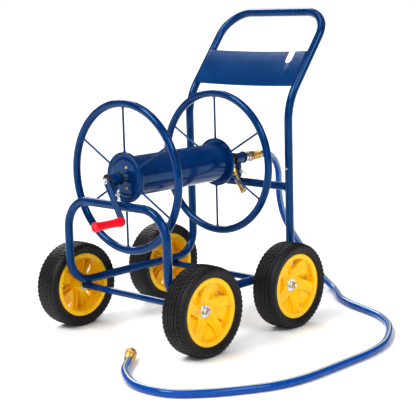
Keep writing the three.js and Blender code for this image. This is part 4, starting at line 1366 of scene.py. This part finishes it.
@dataclass
class Crank:
    """The crank bar with its riveted pin, its bolt, and the turning grip."""

    length: float = 125
    width: float = 22
    thickness: float = 5
    angle: float = 29  # degrees from straight down, towards +X
    grip_length: float = 101
    grip_gap: float = 0.6
    end_steps: int = 18

    def build(self) -> None:
        """Builds and dresses the crank."""
        self.axis = Vector((0, Place.of("crank_bolt").middle.y, Place.of("crank_bolt").middle.z))
        self.face_y = Place.of("crank_grip").high.y + self.grip_gap * MM
        turn = math.radians(self.angle)
        self.pin_at = self.axis + Vector((math.sin(turn), 0, -math.cos(turn))) * self.length * MM
        self.add_bar()
        self.add_bolt()
        self.add_grip()

    def add_bar(self) -> None:
        """The flat bar, round at both ends, with the grip's pin riveted through."""
        half = self.width / 2
        arc = [math.pi * i / self.end_steps for i in range(self.end_steps + 1)]
        outline = [(half * math.cos(a), half * math.sin(a)) for a in arc]
        outline += [(half * math.cos(math.pi + a), half * math.sin(math.pi + a) - self.length) for a in arc]
        bar = Bench.prism(outline, 0, self.thickness)
        hole = Bench.turn([(0, -2), (4.3, -2), (4.3, 8), (0, 8)], 32)
        Bench.soften(Bench.combine(bar, hole, "DIFFERENCE"), 0.9)
        back = Vector((0, self.face_y + self.thickness * MM, self.axis.z))
        out, turn = Axis.FRONT.vector, math.radians(self.angle)
        along = Vector((-math.sin(turn), 0, math.cos(turn)))
        side = along.cross(out)
        bar.matrix_world = Matrix.Translation(back) @ Matrix((side, along, out)).transposed().to_4x4()
        Bench.freeze(bar)
        reach = self.thickness + self.grip_length
        pin = Bench.turn([(0, -3), (5, -2.8), (7, -1.6), (7.8, 0), (4.8, 0.2), (4.8, reach - 6), (7.9, reach - 6),
                          (7.9, reach - 3.6), (6.6, reach - 3), (0, reach - 3)], 32)
        Bench.put(pin, Vector((self.pin_at.x, back.y, self.pin_at.z)), out)
        Dresser.seat(Bench.join(bar, pin), "flat_crank_bar", REEL_PAINT, "reel_paint", "reel", ["crank_arm"])

    def add_bolt(self) -> None:
        """The hexagon bolt and its washer, which hold the bar on the shaft."""
        head = Bench.soften(Bench.prism(hexagon(13), 1.8, 7.4), 0.7)
        boss = Bench.turn([(0, 0.3), (4, 0.3), (4, 0.2), (8.8, 0.2), (9.3, 0.6), (9.3, 1.5), (8.8, 1.8), (5.8, 1.8),
                           (5.6, 7.7), (0, 7.8)], 40)
        shank = Bench.turn([(0, -22), (3.9, -22), (3.9, 1), (0, 1)], 24)
        bolt = Bench.put(Bench.join(head, boss, shank), Vector((0, self.face_y, self.axis.z)), Axis.FRONT.vector)
        Dresser.seat(bolt, "crank_hex_bolt", ZINC_PLATE, "zinc_steel", "reel", ["crank_bolt"])

    def add_grip(self) -> None:
        """The spool-shaped grip, with a cap over the pin's head."""
        length = self.grip_length
        outline = [(5.2, 0), (12.2, 0), (13.6, 0.8), (14, 2.4), (13.9, 7), (13.4, 11), (12.7, 16), (12, 23),
                   (11.6, 31), (11.5, 42), (11.5, length - 42), (11.6, length - 31), (12, length - 23),
                   (12.7, length - 16), (13.4, length - 11), (13.9, length - 7), (14, length - 2.6),
                   (13.5, length - 0.8), (12, length), (7, length), (6, length - 0.7), (0, length - 0.7),
                   (0, length - 2.4), (9, length - 2.4), (9, length - 10), (5.2, length - 10), (5.2, 0)]
        start = Vector((self.pin_at.x, self.face_y - self.grip_gap * MM, self.pin_at.z))
        grip = Bench.put(Bench.turn(outline, 56, 40), start, Axis.FRONT.vector)
        Dresser.seat(grip, "spool_grip", GRIP_PLASTIC, "grip_plastic", "crank_grip", ["crank_grip"])


# ---------------------------------------------------------------- water way


FERRULE_LENGTH = 34  # millimetres


def crimped_ferrule(radius: float = 13.5) -> bpy.types.Object:
    """A brass sleeve with four crimped grooves, along +Z from its fitting's side.

    Args:
        radius: Its outer radius in mm.

    Returns:
        The ferrule.
    """
    length = FERRULE_LENGTH
    outline = [(5.6, 0), (radius - 1.6, 0), (radius - 1.5, 2.8), (radius - 0.3, 3.6), (radius, 4.4)]
    for i in range(4):
        start = 8 + i * 5.6
        low = radius - 0.9
        outline += [(radius, start), (low, start + 0.7), (low, start + 2), (radius, start + 2.7)]
    outline += [(radius, length - 1.6), (radius - 0.5, length - 0.4), (radius - 1.2, length), (5.6, length), (5.6, 0)]
    return Bench.turn(outline, 48, 40)


@dataclass
class WaterWay:
    """Collar, outlet spout, inlet swivel with its ring, and the ferrule that holds the hose."""

    outlet_angle: float = 34  # degrees from straight down, towards +X
    outlet_length: float = 115
    barrel: float = 7.8

    def build(self) -> None:
        """Builds and dresses the water fittings."""
        self.axis_z = Place.of("shaft_collar").middle.z
        self.add_collar()
        self.add_spout()
        self.add_inlet()

    def add_collar(self) -> None:
        """The stop collar behind the rear bearing."""
        at = Place.of("shaft_collar")
        length = at.size.y / MM
        outline = [(10.2, 0), (12.4, 0), (13, 0.6), (13, length - 0.6), (12.4, length), (10.2, length), (10.2, 0)]
        collar = Bench.put(Bench.turn(outline, 40), Vector((0, at.low.y, self.axis_z)), Axis.BACK.vector)
        Dresser.seat(collar, "stop_collar", ZINC_PLATE, "zinc_steel", "reel", ["shaft_collar"])

    def add_spout(self) -> None:
        """The outlet: a boss on the shaft, a hexagon, a tapered neck and the barrel the hose pushes on."""
        tip, barrel = self.outlet_length, self.barrel
        stem = Bench.turn([
            (5.5, 9), (10.5, 9), (11.2, 11), (11.2, 19), (10, 23), (8.6, 26), (8.6, 47), (9, 49), (9, 52),
            (barrel - 0.9, 54.5), (barrel - 0.7, 58), (barrel, 60), (barrel, tip - 8), (barrel + 0.4, tip - 6.4),
            (barrel + 1.2, tip - 5.4), (barrel + 1.2, tip - 1), (barrel + 0.6, tip), (6.6, tip), (5.5, tip - 2),
            (5.5, 9),
        ], 44)
        nut = Bench.soften(Bench.prism(hexagon(21.4), 26, 47), 1.1)
        hub_outline = [(9.9, -15), (14.6, -15), (15.6, -13.8), (15.6, 13.8), (14.6, 15), (9.9, 15), (9.9, -15)]
        hub = Bench.turn(hub_outline, 44)
        middle = Vector((0, Place.of("outlet_spout").middle.y, self.axis_z))
        turn = math.radians(self.outlet_angle)
        way = Vector((math.sin(turn), 0, -math.cos(turn)))
        spout = Bench.put(Bench.join(stem, nut), middle, way)
        hub = Bench.put(hub, middle, Axis.BACK.vector)
        Dresser.seat(Bench.join(spout, hub), "brass_outlet_spout", TURNED_BRASS, "brass", "reel", ["outlet_spout"])

    def add_inlet(self) -> None:
        """The swivel nut with its bright ring, and the crimped ferrule."""
        at = Place.of("inlet_swivel_nut")
        length = at.size.y / MM
        ring = Bench.turn([(10.3, 0), (14.4, 0), (15.2, 0.8), (15.2, 4.4), (14.4, 5.2), (10.3, 5.2), (10.3, 0)], 48)
        start = Vector((0, at.low.y, self.axis_z))
        ring = Bench.put(ring, start, Axis.BACK.vector)
        Dresser.seat(ring, "inlet_bright_ring", ZINC_PLATE, "zinc_steel", "frame")
        body = Bench.turn([(10.3, 5.4), (14.8, 5.4), (15, 6), (15, 20), (14, 21.4), (15, 22.6), (15, length - 1),
                           (14.2, length), (5.6, length), (5.6, length - 6), (10.3, length - 8), (10.3, 5.4)], 48)
        nut = Bench.soften(Bench.prism(hexagon(31), 7.4, 19.4), 1.4)
        swivel = Bench.put(Bench.join(body, nut), start, Axis.BACK.vector)
        Dresser.seat(swivel, "inlet_hex_swivel", CAST_BRASS, "brass", "frame", ["inlet_swivel_nut"])
        ferrule_at = Place.of("inlet_ferrule")
        ferrule = Bench.put(crimped_ferrule(), Vector((0, ferrule_at.low.y, self.axis_z)), Axis.BACK.vector)
        Dresser.seat(ferrule, "inlet_crimped_ferrule", TURNED_BRASS, "brass", "frame", ["inlet_ferrule"])


# ---------------------------------------------------------------- lead-in hose


@dataclass
class LeadHose:
    """The lead-in hose: it hangs from the inlet, lies round the cart's right side and ends in a coupling."""

    radius: float = 11
    sides: int = 24
    ring_every: float = 6
    steps: int = 24  # fine steps between two points of the route
    top_of_skin: float = 0.255  # the part of the way round that faces up where the hose ends
    route: tuple[tuple[float, float, float], ...] = (
        (0, 0.3231, 0.479), (0, 0.3342, 0.479), (-0.0003, 0.357, 0.476), (-0.001, 0.3782, 0.4672),
        (-0.0021, 0.3964, 0.4532), (-0.0035, 0.4104, 0.435), (-0.0049, 0.4192, 0.4138),
        (-0.0061, 0.4224, 0.391), (-0.0067, 0.4231, 0.362), (-0.0059, 0.4272, 0.316), (-0.0024, 0.4422, 0.261),
        (0.0043, 0.4702, 0.209), (0.0118, 0.4972, 0.167), (0.0185, 0.5332, 0.113), (0.0235, 0.5462, 0.0926),
        (0.033, 0.5567, 0.072), (0.0475, 0.563, 0.053), (0.066, 0.5647, 0.0365), (0.087, 0.5612, 0.024),
        (0.109, 0.553, 0.0158), (0.134, 0.5369, 0.012), (0.166, 0.5062, 0.0116), (0.21, 0.4648, 0.0113),
        (0.278, 0.4232, 0.0113), (0.353, 0.3938, 0.0113), (0.435, 0.3588, 0.0113), (0.512, 0.2949, 0.0113),
        (0.569, 0.2132, 0.0113), (0.6125, 0.1232, 0.0113), (0.63, 0.0252, 0.0113), (0.631, -0.0648, 0.0113),
        (0.6304, -0.1548, 0.0113), (0.6265, -0.2448, 0.0113), (0.606, -0.3318, 0.0113),
        (0.563, -0.4108, 0.0113), (0.51, -0.4834, 0.0113), (0.436, -0.5458, 0.0113), (0.329, -0.5558, 0.0116),
        (0.232, -0.5048, 0.0152), (0.174, -0.4378, 0.0168),
    )

    def build(self) -> None:
        path = self.path()
        hose = self.skin(path)
        Dresser.seat(hose, "lead_in_hose", HOSE_PVC, "hose", "frame", ["lead_hose"])
        way = (path[-1] - path[-2]).normalized()
        ferrule_end = path[-1] + way * (FERRULE_LENGTH + 2 * CAD_GAP) * MM
        ferrule = Bench.put(crimped_ferrule(), ferrule_end, -way)
        Dresser.seat(ferrule, "hose_crimped_ferrule", TURNED_BRASS, "brass", "frame", ["hose_end_ferrule"])
        coupling = Bench.put(self.coupling(), ferrule_end + way * CAD_GAP * MM, way)
        Dresser.seat(coupling, "tap_coupling", TURNED_BRASS, "brass", "frame", ["hose_end_coupling"])

    def path(self) -> list[Vector]:
        """The hose's centreline: a smooth centripetal curve through the route's points, evenly stepped."""
        points = [Vector(p) for p in self.route]
        ends = [points[0] * 2 - points[1], *points, points[-1] * 2 - points[-2]]
        fine = [points[0]]
        for p0, p1, p2, p3 in zip(ends, ends[1:], ends[2:], ends[3:]):
            d0, d1, d2 = ((b - a).length ** 0.5 for a, b in ((p0, p1), (p1, p2), (p2, p3)))
            t1 = ((p1 - p0) / d0 - (p2 - p0) / (d0 + d1) + (p2 - p1) / d1) * d1
            t2 = ((p2 - p1) / d1 - (p3 - p1) / (d1 + d2) + (p3 - p2) / d2) * d1
            square, cube = p2 * 3 - p1 * 3 - t1 * 2 - t2, p1 * 2 - p2 * 2 + t1 + t2
            for i in range(1, self.steps + 1):
                t = i / self.steps
                fine.append(p1 + t1 * t + square * t ** 2 + cube * t ** 3)
        return self.evenly(fine)

    def evenly(self, fine: Sequence[Vector]) -> list[Vector]:
        """Steps along a fine polyline at equal distances.

        Args:
            fine: The polyline.

        Returns:
            Its evenly spaced points.
        """
        lengths = [0.0]
        for a, b in zip(fine, fine[1:]):
            lengths.append(lengths[-1] + (b - a).length)
        count = round(lengths[-1] / (self.ring_every * MM))
        path, at = [], 0
        for i in range(count + 1):
            goal = lengths[-1] * i / count
            while at < len(fine) - 2 and lengths[at + 1] < goal:
                at += 1
            share = (goal - lengths[at]) / (lengths[at + 1] - lengths[at])
            path.append(fine[at].lerp(fine[at + 1], min(1.0, share)))
        return path

    def skin(self, path: Sequence[Vector]) -> bpy.types.Object:
        """The hose's closed tube, with U round it and V along it in metres.

        Args:
            path: The centreline's points.

        Returns:
            The tube.
        """
        mesh = bpy.data.meshes.new("hose")
        made = bmesh.new()
        skin = made.loops.layers.uv.new("hose_skin")
        rings = []
        angles = [FULL_TURN * k / self.sides for k in range(self.sides)]
        for place, way, side in zip(path, *self.carried_sides(path)):
            up = way.cross(side)
            outwards = [side * math.cos(a) + up * math.sin(a) for a in angles]
            rings.append([made.verts.new(place + out * self.radius * MM) for out in outwards])
        for i, (ring, after) in enumerate(zip(rings, rings[1:])):
            for k in range(self.sides):
                following = (k + 1) % self.sides
                face = made.faces.new((ring[k], ring[following], after[following], after[k]))
                face.smooth = True
                spots = ((k, i), (k + 1, i), (k + 1, i + 1), (k, i + 1))
                for loop, (u, v) in zip(face.loops, spots):
                    loop[skin].uv = (u / self.sides, v * self.ring_every * MM)
        made.faces.new(list(reversed(rings[0])))
        made.faces.new(rings[-1])
        bmesh.ops.recalc_face_normals(made, faces=made.faces)
        made.to_mesh(mesh)
        made.free()
        hose = bpy.data.objects.new("hose", mesh)
        bpy.context.scene.collection.objects.link(hose)
        return hose

    def carried_sides(self, path: Sequence[Vector]) -> tuple[list[Vector], list[Vector]]:
        """The hose's directions, and the way its U = 0 faces, carried without twist from the far end.

        Args:
            path: The centreline's points.

        Returns:
            At each point, the direction along the hose and the side that U starts from.
        """
        last = len(path) - 1
        ways = [(path[min(i + 1, last)] - path[max(i - 1, 0)]).normalized() for i in range(len(path))]
        above = Axis.UP.vector
        turn = FULL_TURN * self.top_of_skin
        side = above * math.cos(turn) - ways[-1].cross(above) * math.sin(turn)
        sides = []
        for way in reversed(ways):
            side = (side - way * side.dot(way)).normalized()
            sides.append(side)
        return ways, sides[::-1]

    def coupling(self) -> bpy.types.Object:
        """The tap coupling along +Z: a grooved collar open at its mouth, with grip ribs round it."""
        body = Bench.turn([
            (5.6, 0), (12, 0), (12.5, 0.6), (12.5, 5), (15.6, 6.4), (16, 7.2), (16, 28.4), (15.2, 30), (13.6, 30),
            (13, 29.2), (12.4, 28), (13, 26.8), (12.4, 25.4), (13, 24), (12.4, 22.6), (13, 21.2), (12.4, 19.8),
            (13, 18.4), (13, 16), (5.6, 16), (5.6, 0),
        ], 48)
        rib = Bench.prism([(15.7, -0.9), (16.45, -0.7), (16.45, 0.7), (15.7, 0.9)], 8.4, 26.8)
        return Bench.join(body, Bench.ring_of(Bench.soften(rib, 0.2), 18))


# ---------------------------------------------------------------- axles and wheels


@dataclass
class Axle:
    """One axle tube under the frame, with the rod through it."""

    end: str
    rail_x: float  # metres from the middle to a bottom rail
    rod_radius: float = 6.3
    thread_pitch: float = 1.5
    thread_depth: float = 0.6
    weld_reach: float = 5

    def build(self) -> None:
        """Builds and dresses the tube and the rod."""
        at = Place.of(f"{self.end}_axle_tube")
        half, radius = at.high.x / MM, at.size.z / MM / 2
        outline = [(6.7, -half), (radius - 0.4, -half), (radius, -half + 0.5), (radius, half - 0.5),
                   (radius - 0.4, half), (6.7, half), (6.7, -half)]
        middle = Vector((0, at.middle.y, at.middle.z))
        tube = Bench.put(Bench.turn(outline, 40), middle, Axis.RIGHT.vector)
        welds = []
        for side in (-1, 1):
            for step in (-1, 1):
                x = side * (self.rail_x / MM) + step * 6.5
                top = middle + Vector((x, 0, radius - 0.4)) * MM
                reach = Vector((0, self.weld_reach * MM, 0))
                welds.append(Bench.sweep([top - reach, top + Vector((0, 0, 0.8 * MM)), top + reach], 1.5, 12))
        name, node = f"{self.end}_welded_axle_tube", f"{self.end}_axle_tube"
        Dresser.seat(Bench.join(tube, *welds), name, FRAME_PAINT, "frame_paint", "frame", [node])
        rod_half = Place.of(f"{self.end}_axle_rod").high.x / MM
        end = [(self.rod_radius, rod_half - 18)]
        level = rod_half - 16
        while level < rod_half - 1.6:
            root = (self.rod_radius - self.thread_depth, level + self.thread_pitch / 2)
            end += [(self.rod_radius, level), root]
            level += self.thread_pitch
        end += [(5.4, rod_half), (0, rod_half)]
        near = [(r, -h) for r, h in reversed(end)]
        rod = Bench.put(Bench.turn([*near, *end], 32), middle, Axis.RIGHT.vector)
        Dresser.seat(rod, f"{self.end}_threaded_axle", ZINC_PLATE, "zinc_steel", "frame", [f"{self.end}_axle_rod"])


@dataclass
class Wheel:
    """The pattern that all four wheels are copied from, and how each is placed."""

    tyre_radius: float = 127
    tyre_width: float = 80
    tread_steps: int = 168
    arms: int = 5
    hub_radius: float = 23
    web_radius: float = 80
    pocket_start: float = 34
    pocket_depth: float = 10
    pocket_tilt: float = 0.2  # rise of a pocket's floor from one side to the other
    wall: float = 2.6
    swirl: float = 12  # degrees that an arm turns from hub to rim
    block_rise: float = 1.5
    tool_height: float = 60  # of a cutting tool, before its corners are set to their levels
    fins: tuple[Pair, Pair] = ((-7, -12.5), (11, 6.5))  # angles at hub and barrel, from an arm's middle
    window: tuple[Pair, ...] = ((47, -0.3), (77, -0.37), (77, -0.16), (60, -0.2))  # radius and turn in radians

    def build(self, phases: Mapping[str, float]) -> None:
        """Builds the pattern wheel and places a copy of it at each corner.

        Args:
            phases: For each wheel, the clock angle of one arm, in degrees from straight up towards the back.
        """
        tyre, rim = self.tyre(), self.rim()
        for place, phase in phases.items():
            spot = self.spot(place, phase)
            for pattern, node, finish, slot in (
                (tyre, "tyre", TYRE_RUBBER, "tyre_rubber"),
                (rim, "rim", RIM_PLASTIC, "rim_plastic"),
            ):
                piece = Bench.copy(pattern)
                piece.matrix_world = spot
                name = f"{place}_{'treaded_tyre' if node == 'tyre' else 'five_arm_rim'}"
                Dresser.seat(Bench.freeze(piece), name, finish, slot, f"{place}_wheel", [f"{place}_{node}"])
            self.add_fasteners(place)
        for pattern in (tyre, rim):
            bpy.data.objects.remove(pattern)

    def spot(self, place: str, phase: float) -> Matrix:
        """Where the pattern goes: its +Z points out of the cart, its +X up, turned by its phase.

        Args:
            place: The wheel's place, such as front_left.
            phase: How far it is turned, in degrees.

        Returns:
            The wheel's matrix.
        """
        side = 1 if place.endswith("right") else -1
        box = Place.of(f"{place}_tyre")
        out, up = Vector((side, 0, 0)), Axis.UP.vector
        axes = Matrix((up, out.cross(up), out)).transposed().to_4x4()
        return Matrix.Translation(box.middle) @ axes @ Matrix.Rotation(-side * math.radians(phase), 4, "Z")

    def tyre(self) -> bpy.types.Object:
        """The tyre: ribbed sidewalls, four grooves round the tread and blocks between them."""
        half = self.tyre_width / 2
        wall = [(88.4, 29.1), (96.9, 29.1), (97, 31.6), (98.6, 33.4), (99.6, 35.6), (101.4, 36.6), (106, 38.2),
                (111, 39.6), (114, half), (116.4, half - 0.2), (117.2, half - 1.6), (118.4, half - 1.7),
                (119.4, half - 1.4), (122, half - 3.6), (124.2, half - 7)]
        crown = [(125.6, 29), (126, 26.4), (124.2, 25.8), (124.2, 24), (126.4, 23.4), (126.8, 12.6), (124.8, 12.1),
                 (124.8, 10.3), (127, 9.8), (127, 1.1), (125.6, 0.7)]
        outline = [*wall, *crown]
        mirrored = [(r, -h) for r, h in reversed(outline)]
        tyre = Bench.turn([*outline, *mirrored, outline[0]], self.tread_steps, 30)
        Bench.edit(tyre, "FACE")
        for low, high, shift in ((0.9, 10, 0), (12.3, 23.6, 1), (25.9, 37.5, 0)):
            self.raise_blocks(tyre, low, high, shift)
        bpy.ops.object.mode_set(mode="OBJECT")
        return Bench.shade(tyre, 30)

    def raise_blocks(self, tyre: bpy.types.Object, low: float, high: float, shift: int) -> None:
        """Raises every third step of a rib on both halves, which breaks the rib into tread blocks.

        Args:
            tyre: The tyre, in edit mode.
            low: Where the rib starts, in mm from the tyre's middle.
            high: Where it ends.
            shift: Which of every three steps is raised.
        """
        pitch = FULL_TURN / self.tread_steps

        def on_raised_step(spot: Vector) -> bool:
            """True for a face of the rib on a step that is raised."""
            step = math.floor((math.atan2(spot.y, spot.x) + math.pi) / pitch)
            level = abs(spot.z) / MM
            offset = shift + (1 if spot.z > 0 else 0)
            return low < level < high and math.hypot(spot.x, spot.y) > 121 * MM and (step + offset) % 3 == 0

        Bench.choose(tyre, on_raised_step, faces=True)
        bpy.ops.mesh.extrude_region_move()
        bpy.ops.transform.shrink_fatten(value=self.block_rise * MM)
        bpy.ops.mesh.select_all(action="DESELECT")

    def web_height(self, radius: float) -> float:
        """The outer face of the web, which rises from the hub to the rim."""
        return 6.5 + (radius - self.hub_radius) * 18.5 / (self.web_radius - self.hub_radius)

    def rim(self) -> bpy.types.Object:
        """The moulded rim: barrel, lips, hub and a thin web with five deep pockets between its arms."""
        rising = [(r, self.web_height(r)) for r in (26, 40, 60, 79)]
        under = [(r, self.web_height(r) - self.wall) for r in (79.4, 60, 40, 26)]
        outline = [
            (6.9, 6.5), (22, 6.5), (23.4, 6.3), *rising, (81, 27.4), (81.8, 30), (82.6, 31.6), (84, 32.4), (86, 32.5),
            (94, 32.1), (95.8, 31.6), (96.5, 30.4), (96.3, 29.6), (88, 29.6), (88, -29.6), (96.3, -29.6),
            (96.5, -30.8), (95.6, -32.1), (94.2, -32.5), (84, -32.5), (82.4, -31.4), (82, -29.6), (82, 15),
            *under, (23, 2), (23, -33.6), (21.8, -35), (6.9, -35), (6.9, 6.5),
        ]
        rim = Bench.turn(outline, 112, 35)
        Bench.combine(rim, Bench.ring_of(self.pocket(self.wall, -self.wall), self.arms), "UNION")
        for inner_turn, outer_turn in self.fins:
            Bench.combine(rim, Bench.ring_of(self.fin(inner_turn, outer_turn), self.arms), "UNION")
        Bench.combine(rim, Bench.ring_of(self.pocket(0, 0), self.arms), "DIFFERENCE")
        Bench.combine(rim, Bench.ring_of(self.window_tool(), self.arms), "DIFFERENCE")
        crease = Bench.ring_of(self.crease(), self.arms)
        Bench.combine(rim, crease, "UNION")
        return Bench.soften(rim, 0.7, 38)

    def fin(self, inner_turn: float, outer_turn: float) -> bpy.types.Object:
        """A stiffening fin under the web, along one edge of an arm.

        Args:
            inner_turn: The fin's angle at the hub, in degrees from the arm's middle.
            outer_turn: Its angle at the barrel.

        Returns:
            The fin, along the first arm.
        """
        ends = [
            Vector((radius * math.cos(math.radians(turn)), radius * math.sin(math.radians(turn))))
            for radius, turn in ((self.hub_radius + 1, inner_turn), (self.web_radius + 2.6, outer_turn))
        ]
        side = (ends[1] - ends[0]).orthogonal().normalized() * self.wall / 2
        corners = [ends[0] - side, ends[1] - side, ends[1] + side, ends[0] + side]
        fin = Bench.prism([tuple(corner) for corner in corners], -7, self.tool_height)
        Bench.edit(fin)
        for corner in corners:
            level = self.web_height(corner.length) - self.wall / 2 - self.tool_height
            self.set_level(fin, (corner.x * MM, corner.y * MM), True, level)
        return Bench.close(fin)

    def pocket_outline(self, grow: float, steps: int = 12) -> list[Pair]:
        """The pocket's outline between two arms, swept a little round from hub to rim.

        Args:
            grow: How far it is widened, in mm.
            steps: Number of points along a wall.

        Returns:
            Its corners, in mm.
        """
        pitch = math.pi / self.arms
        outer = self.web_radius + 0.6 if grow == 0 else self.web_radius + 3
        near, far = [], []
        for i in range(steps + 1):
            share = i / steps
            radius = self.pocket_start - grow + (outer - self.pocket_start + grow) * share
            chord = 3.4 + (outer * math.sin(math.radians(25.5)) - 3.4) * share ** 0.9 + grow
            middle = pitch - math.radians(self.swirl) * (share - 0.75)
            spread_angle = math.asin(min(0.95, chord / radius))
            near.append((radius, middle - spread_angle))
            far.append((radius, middle + spread_angle))
        arc = [(outer, near[-1][1] + (far[-1][1] - near[-1][1]) * i / 10) for i in range(1, 10)]
        return [(r * math.cos(a), r * math.sin(a)) for r, a in (*near, *arc, *reversed(far))]

    def pocket(self, grow: float, drop: float) -> bpy.types.Object:
        """A pocket's solid, with a tilted floor; grown and dropped, it is the pocket's outside.

        Args:
            grow: How far it is widened, in mm.
            drop: How far its floor is moved along +Z, in mm.

        Returns:
            The pocket's solid.
        """
        tool = Bench.prism(self.pocket_outline(grow), 0, self.tool_height)
        Bench.edit(tool)
        spots = {(round(v.co.x, 6), round(v.co.y, 6)) for v in bmesh.from_edit_mesh(tool.data).verts}
        for spot in sorted(spots):
            self.set_level(tool, spot, False, self.floor_height(spot) + drop)
            if grow:
                level = self.web_height(math.hypot(*spot) / MM) - 1.2
                self.set_level(tool, spot, True, level - self.tool_height)
        return Bench.close(tool)

    def floor_height(self, spot: Pair) -> float:
        """The level of a pocket's flat, tilted floor at a place in metres, given as (x, y).

        Args:
            spot: The place.

        Returns:
            The level, in mm.
        """
        pitch = math.pi / self.arms
        out = (spot[0] * math.cos(pitch) + spot[1] * math.sin(pitch)) / MM
        across = (spot[1] * math.cos(pitch) - spot[0] * math.sin(pitch)) / MM
        return self.web_height(out) - self.pocket_depth + self.pocket_tilt * across

    def set_level(self, tool: bpy.types.Object, spot: Pair, top: bool, level: float) -> None:
        """Lifts one corner of a tool, at its bottom or its top, by a height in mm.

        Args:
            tool: The tool, open in edit mode.
            spot: The corner's place in metres, given as (x, y).
            top: True for its top corner.
            level: How far it is lifted.
        """
        half_way = self.tool_height / 2 * MM
        near = 2 * MERGE_WITHIN
        Bench.choose(tool, lambda p: (p.z > half_way) == top and abs(p.x - spot[0]) + abs(p.y - spot[1]) < near)
        bpy.ops.transform.translate(value=(0, 0, level * MM))

    def window_tool(self) -> bpy.types.Object:
        """The opening through a pocket's floor, along one of its walls."""
        pitch = math.pi / self.arms
        outline = []
        for radius, turn in self.window:
            angle = pitch - math.radians(self.swirl) * (radius / self.web_radius - 0.85) + turn
            outline.append((radius * math.cos(angle), radius * math.sin(angle)))
        return Bench.prism(outline, -20, 50)

    def crease(self) -> bpy.types.Object:
        """The raised crease along an arm's middle."""
        outline = [(25, -1.4), (52, -3.0), (78, -5.6), (78, 3.4), (52, 2.4), (25, 1.4)]
        turned = []
        for x, y in outline:
            radius, angle = math.hypot(x, y), math.atan2(y, x)
            share = (radius - self.pocket_start) / (self.web_radius - self.pocket_start)
            angle -= math.radians(self.swirl) * (share - 0.75)
            turned.append((radius * math.cos(angle), radius * math.sin(angle)))
        ridge = Bench.prism(turned, -1.6, 1.3)
        Bench.edit(ridge)
        spots = sorted({round(v.co.xy.length, 5) for v in bmesh.from_edit_mesh(ridge.data).verts})
        for radius in spots:
            Bench.choose(ridge, lambda p: abs(p.xy.length - radius) < 1e-5)
            bpy.ops.transform.translate(value=(0, 0, self.web_height(radius / MM) * MM))
        return Bench.close(ridge)

    def add_fasteners(self, place: str) -> None:
        """The spacer, washer and lock nut that hold a wheel on its axle.

        Args:
            place: The wheel's place, such as front_left.
        """
        side = Axis.RIGHT if place.endswith("right") else Axis.LEFT
        for node, finish_name, outer in (("spacer", "plain_spacer", 14), ("washer", "wide_washer", 18.5)):
            at = Place.of(f"{place}_{node}")
            thick = at.size.x / MM
            start = at.low.x if side is Axis.RIGHT else at.high.x
            ring = [(6.7, 0), (outer - 0.4, 0), (outer, 0.4), (outer, thick - 0.5), (outer - 0.6, thick),
                    (6.7, thick), (6.7, 0)]
            piece = Bench.put(Bench.turn(ring, 48), Vector((start, at.middle.y, at.middle.z)), side.vector)
            Dresser.seat(piece, f"{place}_{finish_name}", ZINC_PLATE, "zinc_steel", "frame", [f"{place}_{node}"])
        at = Place.of(f"{place}_nut")
        start = at.low.x if side is Axis.RIGHT else at.high.x
        flats = Bench.soften(Bench.prism(hexagon(18.8), 0, 9.6), 1.0)
        collar = Bench.turn([(6.4, 9), (9.1, 9), (9.1, 12), (8.2, 13.6), (7.2, 14), (6.4, 13.4), (6.4, 9)], 40)
        nut = Bench.put(Bench.join(flats, collar), Vector((start, at.middle.y, at.middle.z)), side.vector, 0.35)
        Dresser.seat(nut, f"{place}_lock_nut", ZINC_PLATE, "zinc_steel", "frame", [f"{place}_nut"])


# ---------------------------------------------------------------- build


def main() -> None:
    """Builds the studio, the hose and the cart's sub-assemblies, in that order."""
    logging.basicConfig(level=logging.INFO, format="%(message)s")
    Studio().build()
    LeadHose().build()
    tubes = BentFrame()
    tubes.build()
    HandlePanel(tubes).build()
    ReelBearing("front", 0.05).build()
    ReelBearing("rear", 1.0).build()
    HoseReel().build()
    Crank().build()
    WaterWay().build()
    for end in ("front", "rear"):
        Axle(end, tubes.half_width).build()
    Wheel().build({"front_right": 2, "rear_right": 31, "front_left": 37, "rear_left": 15})
    Bench.clear()


if __name__ == "__main__":
    main()
